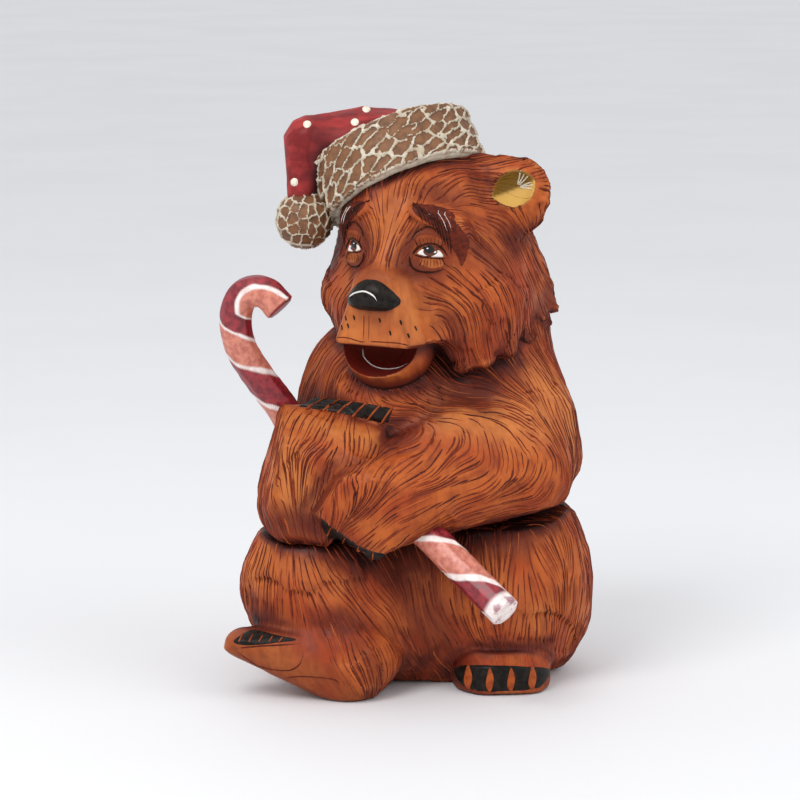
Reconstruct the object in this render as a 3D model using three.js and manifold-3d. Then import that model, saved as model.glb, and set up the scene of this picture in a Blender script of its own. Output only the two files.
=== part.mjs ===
// A carved linden-wood bear that sits, wears a stocking cap and hugs a candy cane.
// Millimetres, +Z up. The bear's front faces -Y and its head is turned towards -X.
import * as THREE from "three";
import { mergeVertices } from "three/addons/utils/BufferGeometryUtils.js";
import Module from "manifold-3d";

const wasm = await Module();
wasm.setup();

// ---- driving dimensions ----
const GLUE_GAP = 0.35; // room left between two glued faces
const DOWEL_CLEARANCE = 0.3; // between a dowel and its socket, all round
const WAIST = 36.4; // height of the joint between haunches and torso
const NECK = 71; // height of the joint between torso and head
const FAR = 200; // larger than the whole figure, for cutting blocks

const HEAD_CENTRE = [4.9, 0, 90];
const HEAD_YAW = -28;
const SKULL = [22.5, 21.5, 22.5];
const MUZZLE_HALF = [9.7, 9.5, 6.9];
const TUFT_STEP = 18; // degrees between two tufts of the mane
const MOUTH_ANGLE = 27; // degrees from the middle of the face to the first tuft on each side
const TUFT_ROOT = 14; // from the head's axis to a tuft's root
const TUFT_TIP = [24.5, 20]; // from the head's axis to a tuft's tip, sideways and forwards
const FRINGE_FRONT = -21; // height of the mane's tips from the head's centre
const FRINGE_BACK = -15;

const HAT_CENTRE = [-3.2, 2, 110.6];
const HAT_AXIS = [-0.34, 0.4, 0.85];
const BRIM_OUTER = 18.3;
const BRIM_INNER = 13.6;
const BRIM_HALF_HEIGHT = 5.9;
const BRIM_ROUND = 1.3; // radius of the band's edges
const BRIM_SIDES = 28;
const BRIM_PROFILE_STEPS = 12;
const POMPOM_CENTRE = [-23.4, -2, 99.3];
const POMPOM_RADIUS = 6.3;

const CANE_RADIUS = 3.5;
const CANE_SIDES = 8;
const HOOK_ROUTE = [
  [-24.5, -8.5, 51],
  [-27.6, -10, 59],
  [-32.4, -12, 66.2],
  [-36.4, -14, 73],
  [-37.7, -15, 79.5],
  [-36.4, -16, 84.4],
  [-33.4, -17, 86],
  [-30.6, -17.8, 85.3],
  [-28.2, -18.6, 82.8],
];
const HOOK_STEPS = 22;
const TIP_START = [0, -23.9, 38.3];
const TIP_END = [18.7, -40, 22.4];

const SOCKET_SIDES = 24; // round cuts that show
const NECK_CUT_RADIUS = 15; // inside the mane's fringe, round the neck joint

// ---- materials ----
const paint = (color, roughness) => new THREE.MeshStandardMaterial({ color, roughness, metalness: 0 });
const STAINED_WOOD = paint(0x9a4a1e, 0.45);
const LIGHT_WOOD = paint(0xb8682c, 0.45);
const RED_PAINT = paint(0x7c1a22, 0.5);
const CREAM_PAINT = paint(0xcfc09c, 0.6);
const CANE_PAINT = paint(0xb84a4a, 0.45);
const DOWEL_WOOD = paint(0xd9b98a, 0.7);

// ---- forms: each is a function that gives the distance from a point to its surface ----
const vector = (values) => new THREE.Vector3(...values);
const RADIANS = Math.PI / 180;

/** A frame at a place, turned about Z and then tipped about its own X and Y, in degrees. */
function frameAt(place, turn = 0, tipX = 0, tipY = 0) {
  const turned = new THREE.Matrix4().makeRotationZ(turn * RADIANS);
  turned.multiply(new THREE.Matrix4().makeRotationX(tipX * RADIANS));
  turned.multiply(new THREE.Matrix4().makeRotationY(tipY * RADIANS));
  return turned.setPosition(vector(place));
}

/** A form made about the origin, carried to a frame. */
function placed(frame, form) {
  const inverse = frame.clone().invert();
  const local = new THREE.Vector3();
  return (p) => form(local.copy(p).applyMatrix4(inverse));
}

function ball(centre, radii) {
  const [x, y, z] = radii;
  const middle = vector(centre);
  return (p) => {
    const dx = p.x - middle.x;
    const dy = p.y - middle.y;
    const dz = p.z - middle.z;
    const near = Math.hypot(dx / x, dy / y, dz / z);
    const slope = Math.hypot(dx / (x * x), dy / (y * y), dz / (z * z));
    return (near * (near - 1)) / Math.max(slope, 1e-6);
  };
}

function limb(start, end, startRadius, endRadius) {
  const a = vector(start);
  const along = vector(end).sub(a);
  const offset = new THREE.Vector3();
  return (p) => {
    offset.copy(p).sub(a);
    const t = THREE.MathUtils.clamp(offset.dot(along) / along.lengthSq(), 0, 1);
    offset.addScaledVector(along, -t);
    return offset.length() - THREE.MathUtils.lerp(startRadius, endRadius, t);
  };
}

function block(half, round) {
  return (p) => {
    const x = Math.abs(p.x) - half[0] + round;
    const y = Math.abs(p.y) - half[1] + round;
    const z = Math.abs(p.z) - half[2] + round;
    const outside = Math.hypot(Math.max(x, 0), Math.max(y, 0), Math.max(z, 0));
    return outside + Math.min(Math.max(x, y, z), 0) - round;
  };
}

/** The half of space behind a plane through a point, on the side away from its normal. */
function behind(point, normal) {
  const plane = new THREE.Plane().setFromNormalAndCoplanarPoint(vector(normal).normalize(), vector(point));
  return (p) => plane.distanceToPoint(p);
}

/** Forms run together, with a fillet of about the given width. */
function join(width, ...forms) {
  return (p) => {
    let distance = forms[0](p);
    for (const form of forms.slice(1)) {
      const other = form(p);
      const blend = Math.max(width - Math.abs(distance - other), 0) / width;
      distance = Math.min(distance, other) - (blend * blend * width) / 4;
    }
    return distance;
  };
}

/** What all the forms share, with its edges eased by about the given width. */
function common(width, ...forms) {
  const joined = join(width, ...forms.map((form) => (p) => -form(p)));
  return (p) => -joined(p);
}

// ---- solids ----
const UNIT_SPHERE_TOLERANCE = 1e-4;
const TOUCH = 0.003;
const STEPS = 90;
const CAUTION = 0.8; // part of the distance that one step inwards takes

/** Vertices on a form, one along each ray from its heart, so it is closed wherever the rays reach it. */
function carve({ form, heart, detail }, swell = 0) {
  const sphere = new THREE.IcosahedronGeometry(1, detail);
  sphere.deleteAttribute("normal");
  sphere.deleteAttribute("uv");
  const shell = mergeVertices(sphere, UNIT_SPHERE_TOLERANCE);
  const position = shell.attributes.position;
  const ray = new THREE.Vector3();
  const point = new THREE.Vector3();
  for (let i = 0; i < position.count; i += 1) {
    ray.fromBufferAttribute(position, i).normalize();
    let reach = FAR / 2;
    for (let step = 0; step < STEPS; step += 1) {
      point.copy(vector(heart)).addScaledVector(ray, reach);
      const gap = form(point) - swell;
      if (gap < TOUCH) break;
      reach -= gap * CAUTION;
    }
    position.setXYZ(i, point.x, point.y, point.z);
  }
  return solid(shell);
}

/** A closed geometry as a solid that can be joined and cut. */
function solid(geometry) {
  const bare = geometry.clone();
  bare.deleteAttribute("normal");
  bare.deleteAttribute("uv");
  const merged = mergeVertices(bare, UNIT_SPHERE_TOLERANCE);
  const mesh = new wasm.Mesh({
    numProp: 3,
    vertProperties: Float32Array.from(merged.attributes.position.array),
    triVerts: Uint32Array.from(merged.index.array),
  });
  return new wasm.Manifold(mesh);
}

const allOf = (solids) => solids.reduce((sum, next) => sum.add(next));
const mass = (forms, swell) => allOf(forms.map((form) => carve(form, swell)));

/** A big block that fills everything beyond a plane, on the side that its normal points to. */
function beyond(point, normal) {
  const geometry = new THREE.BoxGeometry(2 * FAR, 2 * FAR, FAR).translate(0, 0, FAR / 2);
  geometry.applyQuaternion(turnTo(normal));
  return solid(geometry.translate(...point));
}

/** The turn that carries +Z to a direction. */
function turnTo(direction) {
  return new THREE.Quaternion().setFromUnitVectors(new THREE.Vector3(0, 0, 1), vector(direction).normalize());
}

/** A round or faceted rod between two points. */
function rod(start, end, radius, sides) {
  const along = vector(end).sub(vector(start));
  const geometry = new THREE.CylinderGeometry(radius, radius, along.length(), sides).rotateX(Math.PI / 2);
  geometry.translate(0, 0, along.length() / 2).applyQuaternion(turnTo(along.toArray()));
  return solid(geometry.translate(...start));
}

/** A rod of the cane's section along a curve. */
function bentRod(route, radius, steps) {
  const section = new THREE.Shape();
  for (let i = 0; i < CANE_SIDES; i += 1) {
    const angle = ((i + 0.5) * 2 * Math.PI) / CANE_SIDES;
    const corner = [radius * Math.cos(angle), radius * Math.sin(angle)];
    if (i === 0) section.moveTo(...corner);
    else section.lineTo(...corner);
  }
  section.closePath();
  const extrudePath = new THREE.CatmullRomCurve3(route.map(vector), false, "centripetal");
  return solid(new THREE.ExtrudeGeometry(section, { steps, extrudePath, bevelEnabled: false }));
}

// ---- dowels, each with the socket that both of its neighbours are drilled with ----
const DOWEL_SIDES = 12;
const END_ROOM = 0.6; // glue room beyond each end of a dowel

function dowel(start, end, radius) {
  const along = vector(end).sub(vector(start)).normalize();
  const first = vector(start).addScaledVector(along, -END_ROOM).toArray();
  const last = vector(end).addScaledVector(along, END_ROOM).toArray();
  return {
    pin: rod(start, end, radius, DOWEL_SIDES),
    socket: rod(first, last, radius + DOWEL_CLEARANCE, DOWEL_SIDES),
  };
}

const waistDowels = [-9, 17].map((x) => dowel([x, 8, WAIST - 8], [x, 8, WAIST + 8], 3));
const neckDowel = dowel([5, 4, NECK - 8], [5, 4, NECK + 8], 3.5);

// ---- haunches: seat, thighs and feet in one block ----
const haunchForms = [
  {
    form: join(
      4,
      ball([1, 5, 18], [32, 24, 27]),
      ball([19, -3, 21], [19.5, 20, 24]),
      ball([-19, -9, 21], [17.5, 18, 19]),
    ),
    heart: [1, 0, 18],
    detail: 8,
  },
  {
    form: common(
      1.5,
      join(3, limb([-16, -21, 7], [-34, -21, 14], 8, 5.5), ball([-17, -19, 8], [12, 8, 9])),
      behind([-26, -22.5, 4.5], [-0.42, -0.35, -0.84]),
      behind([-30, -20, 17.5], [-0.12, -0.25, 0.95]),
    ),
    heart: [-21, -20, 9],
    detail: 4,
  },
  { form: placed(frameAt([18.5, -15, 4], 4), block([10.5, 8, 4.6], 2.5)), heart: [18.5, -15, 4], detail: 4 },
];
const floor = beyond([0, 0, 0], [0, 0, -1]);
const haunches = mass(haunchForms)
  .subtract(floor)
  .subtract(beyond([0, 0, WAIST - GLUE_GAP], [0, 0, 1]))
  .subtract(allOf(waistDowels.map(({ socket }) => socket)));

// ---- head: skull, cheeks, muzzle, open jaw and the fringe of the mane ----
const headFrame = frameAt(HEAD_CENTRE, HEAD_YAW);
const hatFrame = new THREE.Matrix4().makeRotationFromQuaternion(turnTo(HAT_AXIS));
hatFrame.setPosition(vector(HAT_CENTRE));
const inHat = (x, y, z) => vector([x, y, z]).applyMatrix4(hatFrame).toArray();

/** The fringe: a ring of pointed tufts, long beside the jaw and shorter round the sides and the nape. */
function maneTufts() {
  const tufts = [];
  for (let angle = MOUTH_ANGLE; angle <= 360 - MOUTH_ANGLE; angle += TUFT_STEP) {
    const sideways = Math.sin(angle * RADIANS);
    const forward = Math.cos(angle * RADIANS);
    const rise = THREE.MathUtils.smoothstep(-forward, -0.85, 0.2);
    const tipHeight = THREE.MathUtils.lerp(FRINGE_FRONT, FRINGE_BACK, rise);
    const root = [TUFT_ROOT * sideways, 1 - TUFT_ROOT * forward, -6];
    const tip = [TUFT_TIP[0] * sideways, 3 - TUFT_TIP[1] * forward, tipHeight];
    tufts.push(limb(root, tip, 9, 2.4));
  }
  return tufts;
}

const headForm = placed(
  headFrame,
  join(
    3,
    join(
      5,
      ball([0, 2, 1.5], SKULL),
      ball([12, -4, -7], [13.5, 14, 13]),
      ball([-12, -4, -7], [13.5, 14, 13]),
      ball([15, 5, 14], [8.4, 5.5, 8.4]),
      ball([-14, 5, 13], [6, 6, 6]),
    ),
    ...maneTufts(),
  ),
);
const muzzleForm = placed(
  headFrame,
  common(
    1,
    join(4, placed(frameAt([0, -20.5, -7]), block(MUZZLE_HALF, 4)), limb([0, -10, 5], [0, -22, -3], 9, 7)),
    behind([0, -29.6, 0], [0, -1, 0]),
  ),
);
const crownBase = placed(hatFrame, ball([0, 0, -8], [16.4, 16.4, 9]));
const jawForm = placed(
  headFrame,
  common(0.6, ball([0, -18.5, -14.5], [10, 10, 10.4]), behind([0, 0, -13.3], [0, 0, 1])),
);
const noseForm = placed(headFrame, ball([0, -26.5, -3.9], [6, 5.2, 4.4]));
const mouthForm = placed(headFrame, ball([0, -23, -15.6], [7.2, 8, 5.6]));
const inHead = (x, y, z) => vector([x, y, z]).applyMatrix4(headFrame).toArray();
const headForms = [
  { form: join(4, headForm, crownBase), heart: inHead(0, 0, -1), detail: 9 },
  { form: muzzleForm, heart: inHead(0, -18, -6), detail: 4 },
  { form: jawForm, heart: inHead(0, -18, -17), detail: 3 },
  { form: noseForm, heart: inHead(0, -26, -3.9), detail: 3 },
];

// ---- hat: a rolled brim, a crown whose top folds over to one side, and a pompom ----

/** The brim's band, a ring with a rounded rectangle for its section. */
function brimRing(swell) {
  const width = (BRIM_OUTER - BRIM_INNER) / 2 - BRIM_ROUND;
  const height = BRIM_HALF_HEIGHT - BRIM_ROUND;
  const middle = (BRIM_OUTER + BRIM_INNER) / 2;
  const profile = [];
  const round = BRIM_ROUND + swell;
  for (let i = 0; i <= BRIM_PROFILE_STEPS; i += 1) {
    const angle = ((i - 0.5) / BRIM_PROFILE_STEPS) * 2 * Math.PI;
    const x = middle + Math.sign(Math.cos(angle)) * width + round * Math.cos(angle);
    const y = Math.sign(Math.sin(angle)) * height + round * Math.sin(angle);
    profile.push(new THREE.Vector2(x, y));
  }
  profile[profile.length - 1].copy(profile[0]);
  const ring = new THREE.LatheGeometry(profile, BRIM_SIDES).rotateX(Math.PI / 2);
  return solid(ring.applyMatrix4(hatFrame));
}

const SEAT = -BRIM_HALF_HEIGHT - GLUE_GAP; // height of the hat's seat on the head, in the hat's frame
const hatSeat = rod(inHat(0, 0, SEAT), inHat(0, 0, SEAT + 60), BRIM_OUTER + GLUE_GAP, BRIM_SIDES);
const pompomForm = {
  form: ball(POMPOM_CENTRE, [POMPOM_RADIUS, POMPOM_RADIUS, POMPOM_RADIUS]),
  heart: POMPOM_CENTRE,
  detail: 3,
};
const crownForms = [
  {
    form: join(3, ball([-5, 4, 114.6], [14.3, 13.8, 8.4]), limb([-11, 3, 116.4], [-20, 1, 115.8], 6.9, 6.1)),
    heart: [-8, 3, 115],
    detail: 5,
  },
  { form: limb([-21.6, 0, 115.5], [-23.2, -1, 105], 5.8, 4), heart: [-22.4, -0.5, 111], detail: 3 },
];
const crownPlug = rod(inHat(0, 0, SEAT + GLUE_GAP), inHat(0, 0, 4), BRIM_INNER - GLUE_GAP, SOCKET_SIDES);
const hatDowel = dowel(inHat(0, 0, SEAT - 7), inHat(0, 0, SEAT + 7), 2.5);
const pompomDowel = dowel([-24.3, -1.8, 101], [-23.9, -1.4, 109], 1.2);

const wholeHead = (swell) => mass(headForms, swell);
const EAR_HOLLOW_RADIUS = 4.2;
const earHollow = rod(inHead(15.4, -6, 15.2), inHead(16.4, 2.6, 14.6), EAR_HOLLOW_RADIUS, SOCKET_SIDES);

/** What is taken off below the neck joint, leaving the mane's fringe hanging round it. */
function neckUnderside() {
  return rod([5, 4, NECK - 40], [5, 4, NECK + GLUE_GAP], NECK_CUT_RADIUS, SOCKET_SIDES);
}

const head = wholeHead(0)
  .subtract(mass([{ form: mouthForm, heart: inHead(0, -23, -15.6), detail: 3 }]))
  .subtract(neckUnderside())
  .subtract(hatSeat)
  .subtract(neckDowel.socket)
  .subtract(hatDowel.socket)
  .subtract(earHollow);

const brim = brimRing(0);
const pompom = carve(pompomForm)
  .subtract(brimRing(GLUE_GAP))
  .subtract(wholeHead(GLUE_GAP))
  .subtract(pompomDowel.socket);
const foldedTip = rod([-23.4, -1, 90], [-22.6, 0, 114], 7, SOCKET_SIDES); // room for the fold that hangs
const belowCrown = beyond(inHat(0, 0, -2), HAT_AXIS.map((value) => -value)).subtract(foldedTip);
const crown = mass(crownForms)
  .subtract(belowCrown)
  .add(crownPlug)
  .subtract(brimRing(GLUE_GAP))
  .subtract(carve(pompomForm, GLUE_GAP))
  .subtract(hatDowel.socket)
  .subtract(pompomDowel.socket);

// ---- torso: body and both arms in one block ----
const armForms = [
  {
    form: join(
      5,
      limb([18, -7, 60], [24, -7, 47], 12.5, 12.5),
      limb([24, -9, 47], [5, -22.5, 45], 12.5, 10.5),
      limb([5, -22.5, 45], [-9, -26, 39.5], 10.5, 9),
    ),
    heart: [10, -18, 46],
    detail: 6,
  },
  {
    form: common(
      2,
      join(
        4,
        placed(frameAt([-19.5, -15, 48], -12, 0, 8), block([12.5, 11.5, 14.5], 6)),
        ball([-24, -12, 44], [9.5, 11, 9]),
      ),
      behind([-18, -26.5, 54], [0, -0.75, 0.65]),
      behind([-31, -14, 50], [-1, -0.25, 0.15]),
      behind([-16, -18, 62.5], [0.08, 0.1, 1]),
    ),
    heart: [-19, -14, 48],
    detail: 5,
  },
];
const bodyForms = [
  {
    form: join(
      6,
      ball([5, 4, 50], [27, 23.5, 27]),
      ball([14, 5, 50], [20.5, 21, 26]),
      ball([-10, 4, 52], [16, 16, 24]),
    ),
    heart: [5, 4, 54],
    detail: 7,
  },
];
const cane = {
  hook: bentRod(HOOK_ROUTE, CANE_RADIUS, HOOK_STEPS),
  tip: rod(TIP_START, TIP_END, CANE_RADIUS, CANE_SIDES),
};
const HOLE_RADIUS = CANE_RADIUS + 1.4 * GLUE_GAP;
const HOLE_SIDES = 12;
const hookBottom = rod([-24.1, -8.3, 50], HOOK_ROUTE[0], HOLE_RADIUS, HOLE_SIDES);
const hookHole = bentRod(HOOK_ROUTE, HOLE_RADIUS, HOOK_STEPS).add(hookBottom);
const tipHole = rod([-0.6, -23.4, 38.8], TIP_END, HOLE_RADIUS, HOLE_SIDES);
const torso = mass(bodyForms)
  .subtract(beyond([0, 0, WAIST], [0, 0, -1]))
  .add(mass(armForms))
  .subtract(mass(haunchForms, GLUE_GAP).subtract(beyond([0, 0, WAIST - GLUE_GAP], [0, 0, 1])))
  .subtract(beyond([0, 0, NECK], [0, 0, 1]))
  .subtract(wholeHead(GLUE_GAP).subtract(neckUnderside()))
  .subtract(hookHole)
  .subtract(tipHole)
  .subtract(neckDowel.socket)
  .subtract(allOf(waistDowels.map(({ socket }) => socket)));

// ---- scene graph ----
function named(name, shape, material) {
  const { vertProperties, triVerts } = shape.getMesh();
  const geometry = new THREE.BufferGeometry();
  geometry.setAttribute("position", new THREE.BufferAttribute(vertProperties, 3));
  geometry.setIndex(new THREE.BufferAttribute(triVerts, 1));
  geometry.computeVertexNormals();
  const mesh = new THREE.Mesh(geometry, material);
  mesh.name = name;
  return mesh;
}

const figurine = new THREE.Group();
figurine.add(
  named("haunches", haunches, STAINED_WOOD),
  named("torso", torso, LIGHT_WOOD),
  named("head", head, STAINED_WOOD),
  named("hat_brim", brim, CREAM_PAINT),
  named("hat_crown", crown, RED_PAINT),
  named("pompom", pompom, CREAM_PAINT),
  named("cane_hook", cane.hook, CANE_PAINT),
  named("cane_tip", cane.tip, CANE_PAINT),
  named("waist_dowel_right", waistDowels[0].pin, DOWEL_WOOD),
  named("waist_dowel_left", waistDowels[1].pin, DOWEL_WOOD),
  named("neck_dowel", neckDowel.pin, DOWEL_WOOD),
  named("hat_dowel", hatDowel.pin, DOWEL_WOOD),
  named("pompom_dowel", pompomDowel.pin, DOWEL_WOOD),
);

// The origin is the middle of the base, under the middle of the figure's box.
const middle = new THREE.Box3().setFromObject(figurine).getCenter(new THREE.Vector3());
figurine.position.set(-middle.x, -middle.y, 0);

export default figurine;
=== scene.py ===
"""A carved linden bear in a stocking cap, hugging a candy cane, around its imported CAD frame."""
import math

import bpy
import numpy as np
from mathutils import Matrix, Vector
from mathutils.bvhtree import BVHTree
from mathutils.kdtree import KDTree


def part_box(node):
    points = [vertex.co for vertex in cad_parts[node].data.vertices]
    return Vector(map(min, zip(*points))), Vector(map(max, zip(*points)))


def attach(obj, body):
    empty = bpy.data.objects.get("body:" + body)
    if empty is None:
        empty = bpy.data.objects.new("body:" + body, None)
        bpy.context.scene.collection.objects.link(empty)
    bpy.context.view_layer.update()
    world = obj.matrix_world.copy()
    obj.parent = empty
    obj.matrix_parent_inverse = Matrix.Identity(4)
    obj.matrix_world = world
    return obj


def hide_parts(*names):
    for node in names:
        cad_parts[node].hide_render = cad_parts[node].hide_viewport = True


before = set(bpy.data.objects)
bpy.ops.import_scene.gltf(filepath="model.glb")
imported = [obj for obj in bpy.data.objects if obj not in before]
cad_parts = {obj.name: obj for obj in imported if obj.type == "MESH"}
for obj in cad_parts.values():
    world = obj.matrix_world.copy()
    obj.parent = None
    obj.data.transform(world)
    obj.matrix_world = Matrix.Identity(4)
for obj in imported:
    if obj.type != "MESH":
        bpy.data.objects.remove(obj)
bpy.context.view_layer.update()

# Sculpting is done in millimetres, about the middle of the bear's seat, and carried to the frame at the end.
MM = 0.001
NECK_AXIS = (5.0, 4.0)  # where the neck's dowel stands, in the sculptor's millimetres
SHIFT = np.array([*(np.mean(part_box("neck_dowel"), axis=0)[:2] / MM - NECK_AXIS), 0.0])

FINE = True
RANDOM = np.random.default_rng(20)

# ---- camera ----
EYE_HEIGHT = math.radians(10)
EYE_DISTANCE = 0.7
AIM = (np.array([-3.0, 0.0, 59.8]) + SHIFT) * MM
LENS = 145.4


def look(thing, at, place):
    """Turns a camera or lamp to look from a place at a point."""
    thing.location = Vector(place)
    thing.rotation_euler = (Vector(at) - Vector(place)).to_track_quat("-Z", "Y").to_euler()
    bpy.context.scene.collection.objects.link(thing)
    return thing


camera = bpy.data.objects.new("camera", bpy.data.cameras.new("camera"))
away = np.array([0.0, -math.cos(EYE_HEIGHT), math.sin(EYE_HEIGHT)])
look(camera, AIM, AIM + EYE_DISTANCE * away)
camera.data.lens = LENS
camera.data.clip_start = 0.01
bpy.context.scene.camera = camera


# ---- forms: each is a function from points, one per row, to their distances from a surface ----
def lengths(rows):
    return np.sqrt(np.einsum("ij,ij->i", rows, rows))


def unit(rows):
    rows = np.asarray(rows, float)
    return rows / np.maximum(np.sqrt((rows * rows).sum(-1, keepdims=True)), 1e-9)


def turned(z=0.0, x=0.0, y=0.0):
    """A turn about Z, then tips about its own X and Y, in degrees. The new axes are the matrix's columns."""
    cz, sz = math.cos(math.radians(z)), math.sin(math.radians(z))
    cx, sx = math.cos(math.radians(x)), math.sin(math.radians(x))
    cy, sy = math.cos(math.radians(y)), math.sin(math.radians(y))
    about_z = np.array([[cz, -sz, 0], [sz, cz, 0], [0, 0, 1]])
    about_x = np.array([[1, 0, 0], [0, cx, -sx], [0, sx, cx]])
    about_y = np.array([[cy, 0, sy], [0, 1, 0], [-sy, 0, cy]])
    return about_z @ about_x @ about_y


def placed(origin, turn, form):
    """A form moved to an origin and turned."""
    origin = np.array(origin, np.float32)
    turn = np.array(turn, np.float32)
    return lambda p: form((p - origin) @ turn)


def ball(centre, radii):
    """An ellipsoid."""
    centre = np.array(centre, np.float32)
    radii = np.array(radii, np.float32)

    def distance(p):
        q = p - centre
        near = lengths(q / radii)
        return near * (near - 1) / np.maximum(lengths(q / radii**2), 1e-6)

    return distance


def limb(start, end, start_radius, end_radius):
    """A round bar whose radius changes evenly along it."""
    a = np.array(start, np.float32)
    along = np.array(end, np.float32) - a

    def distance(p):
        t = np.clip((p - a) @ along / (along @ along), 0, 1)
        return lengths(p - a - t[:, None] * along) - (start_radius + t * (end_radius - start_radius))

    return distance


def slab(half, ease):
    """A box about the origin, given by half its sides, with eased edges."""
    half = np.array(half, np.float32) - ease

    def distance(p):
        q = np.abs(p) - half
        return lengths(np.maximum(q, 0)) + np.minimum(q.max(1), 0) - ease

    return distance


def behind(point, normal):
    """Everything behind a plane: a flat cut."""
    point = np.array(point, np.float32)
    normal = unit(normal).astype(np.float32)
    return lambda p: (p - point) @ normal


def join(width, *forms):
    """Forms run together, with a fillet of about a width where they meet."""

    def distance(p):
        d = forms[0](p)
        for form in forms[1:]:
            e = form(p)
            blend = np.maximum(width - np.abs(d - e), 0) / width
            d = np.minimum(d, e) - blend * blend * width / 4
        return d

    return distance


def opposite(form):
    return lambda p: -form(p)


def common(width, *forms):
    """What all the forms share."""
    return opposite(join(width, *[opposite(form) for form in forms]))


def carved(width, form, *tools):
    """A form with tools cut out of it."""
    return common(width, form, *[opposite(tool) for tool in tools])


# ---- head ----
HEAD = np.array([4.9, 0.0, 90.0])
HEAD_TURN = turned(-28)


def in_head(x, y, z):
    """A place given in the head's frame: X to the bear's left, Y to its back."""
    return HEAD + HEAD_TURN @ np.array([x, y, z], float)


def on_head(form):
    return placed(HEAD, HEAD_TURN, form)


HAT = np.array([-3.4, 2.0, 110.3])
HAT_AXIS = unit([-0.36, 0.4, 0.84])
HAT_SIDE = unit(np.cross([0, 1, 0], HAT_AXIS))
HAT_TURN = np.stack([HAT_SIDE, np.cross(HAT_AXIS, HAT_SIDE), HAT_AXIS], 1)
BRIM_OUTER = 18.5
BRIM_INNER = 13.8
BRIM_HALF_HEIGHT = 6.1

# Each lock of the mane: its root and tip in the head's frame, and its two radii.
SIDE_LOCKS = [
    ((12, 5, 3), (19.6, 14.5, -5.4), 8, 1.9),
    ((13, 3, -3), (20.0, 9.6, -12.0), 8, 2.1),
    ((13, -1, -6), (20.0, 3.6, -15.4), 8, 2.4),
    ((13, -5, -8), (19.0, -4, -17.2), 8, 2.6),
    ((12, -9, -9), (16.4, -10.5, -18.8), 7.5, 2.6),
    ((10.5, -9, -10), (13.0, -13.0, -20.0), 7, 2.2),
]
BACK_LOCKS = 9


def mane_locks():
    locks = [limb(root, tip, a, b) for root, tip, a, b in SIDE_LOCKS]
    for (x, y, z), (u, v, w), a, b in SIDE_LOCKS[2:]:
        locks.append(limb((-x, y, z), (-u * 0.96, v, w), a, b))
    for step in range(BACK_LOCKS):
        angle = math.radians(118 + step * (360 - 2 * 118) / (BACK_LOCKS - 1))
        side, back = math.sin(angle), -math.cos(angle)
        tip = -15 + 8 * math.exp(-((abs(side) - 1) / 0.16) ** 2)  # raised at the sides
        locks.append(limb((15 * side, 3 + 14 * back, -4), (24 * side, 4 + 22 * back, tip), 9, 1.8))
    return locks


skull = join(
    5,
    ball((-1, 1.5, 1.5), (20.6, 23.5, 22.5)),
    ball((11, -5, -7), (12.5, 14, 12.5)),
    ball((-11.2, -5, -7), (12.2, 14, 12.5)),
)
brow = join(3, *[limb((5 * s, -17.2, 11.5), (11.5 * s, -14.6, 9.6), 4.8, 3.6) for s in (1, -1)])
muzzle = common(
    2.2,
    placed((0, -20, -6.9), turned(), slab((14, 10, 7.7), 1.4)),
    behind((0, -29.8, -8), (0, -1, 0.16)),
    *[behind((9.6 * s, -29, -14.4), (s, -0.34, 0.36)) for s in (1, -1)],
)
bridge = limb((0, -13, 7), (0, -23, -2.5), 8.5, 6.5)
eye_hollows = join(2, *[ball((9.6 * s, -27.2, 3.6), (5.6, 6.2, 5)) for s in (1, -1)])
face = carved(2.5, join(4, skull, brow, bridge), eye_hollows)
ear_disc = placed(
    in_head(18.2, 0.5, 15.2),
    HEAD_TURN @ turned(16, -6),
    join(
        2,
        ball((0, 0, 0), (8.3, 4.2, 8.9)),
        limb((-3, 1.5, 4.5), (-9, 2.5, 5), 4.4, 5),
        ball((-2.5, 0, -3.6), (6.2, 4.2, 5.6)),
    ),
)
EAR_CUP = in_head(20.0, -3.7, 17.3)
EAR_CUP_TURN = HEAD_TURN @ turned(16, -6, -24)
ear_leaf = common(0.15, *[ball((0, 0, z), (4.9, 4.6, 4.9)) for z in (1.25, -1.25)])
ear_cup = placed(EAR_CUP, EAR_CUP_TURN, ear_leaf)
hat_rest = placed(HAT, HAT_TURN, ball((0, 0, -8.5), (16.2, 16.2, 9)))
jaw = common(
    0.8,
    join(3, ball((-1.5, -18.8, -15), (9.9, 10.2, 11.0)), limb((-3, -12, -15), (-2, -4, -12), 8, 10)),
    behind((0, 0, -14.6), (0, 0, 1)),
)
mouth = on_head(common(0.4, ball((-1.1, -26.4, -14.6), (8.7, 9.2, 6.3)), behind((0, 0, -14.65), (0, 0, 1))))
head_form = join(3.5, on_head(face), hat_rest, on_head(join(2.4, *mane_locks())))
head_form = join(2.5, head_form, on_head(muzzle))
head_form = join(2.0, head_form, ear_disc)
head_form = join(0.6, head_form, on_head(jaw))
head_form = carved(0.5, head_form, mouth, ear_cup)

nose_form = on_head(
    common(
        1.8,
        ball((-0.2, -27.6, -5.9), (7.5, 5.0, 6.4)),
        behind((5.6, -28, -3.2), (0.74, -0.1, 0.66)),
        behind((-5.8, -28, -3.2), (-0.74, -0.1, 0.66)),
        behind((0, -32.0, -4.6), (0, -0.93, -0.36)),
        behind((0, -28, -7.3), (0, -0.25, -1)),
        ball((-0.2, -24, -4), (8.2, 7.7, 6)),
    )
)

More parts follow.
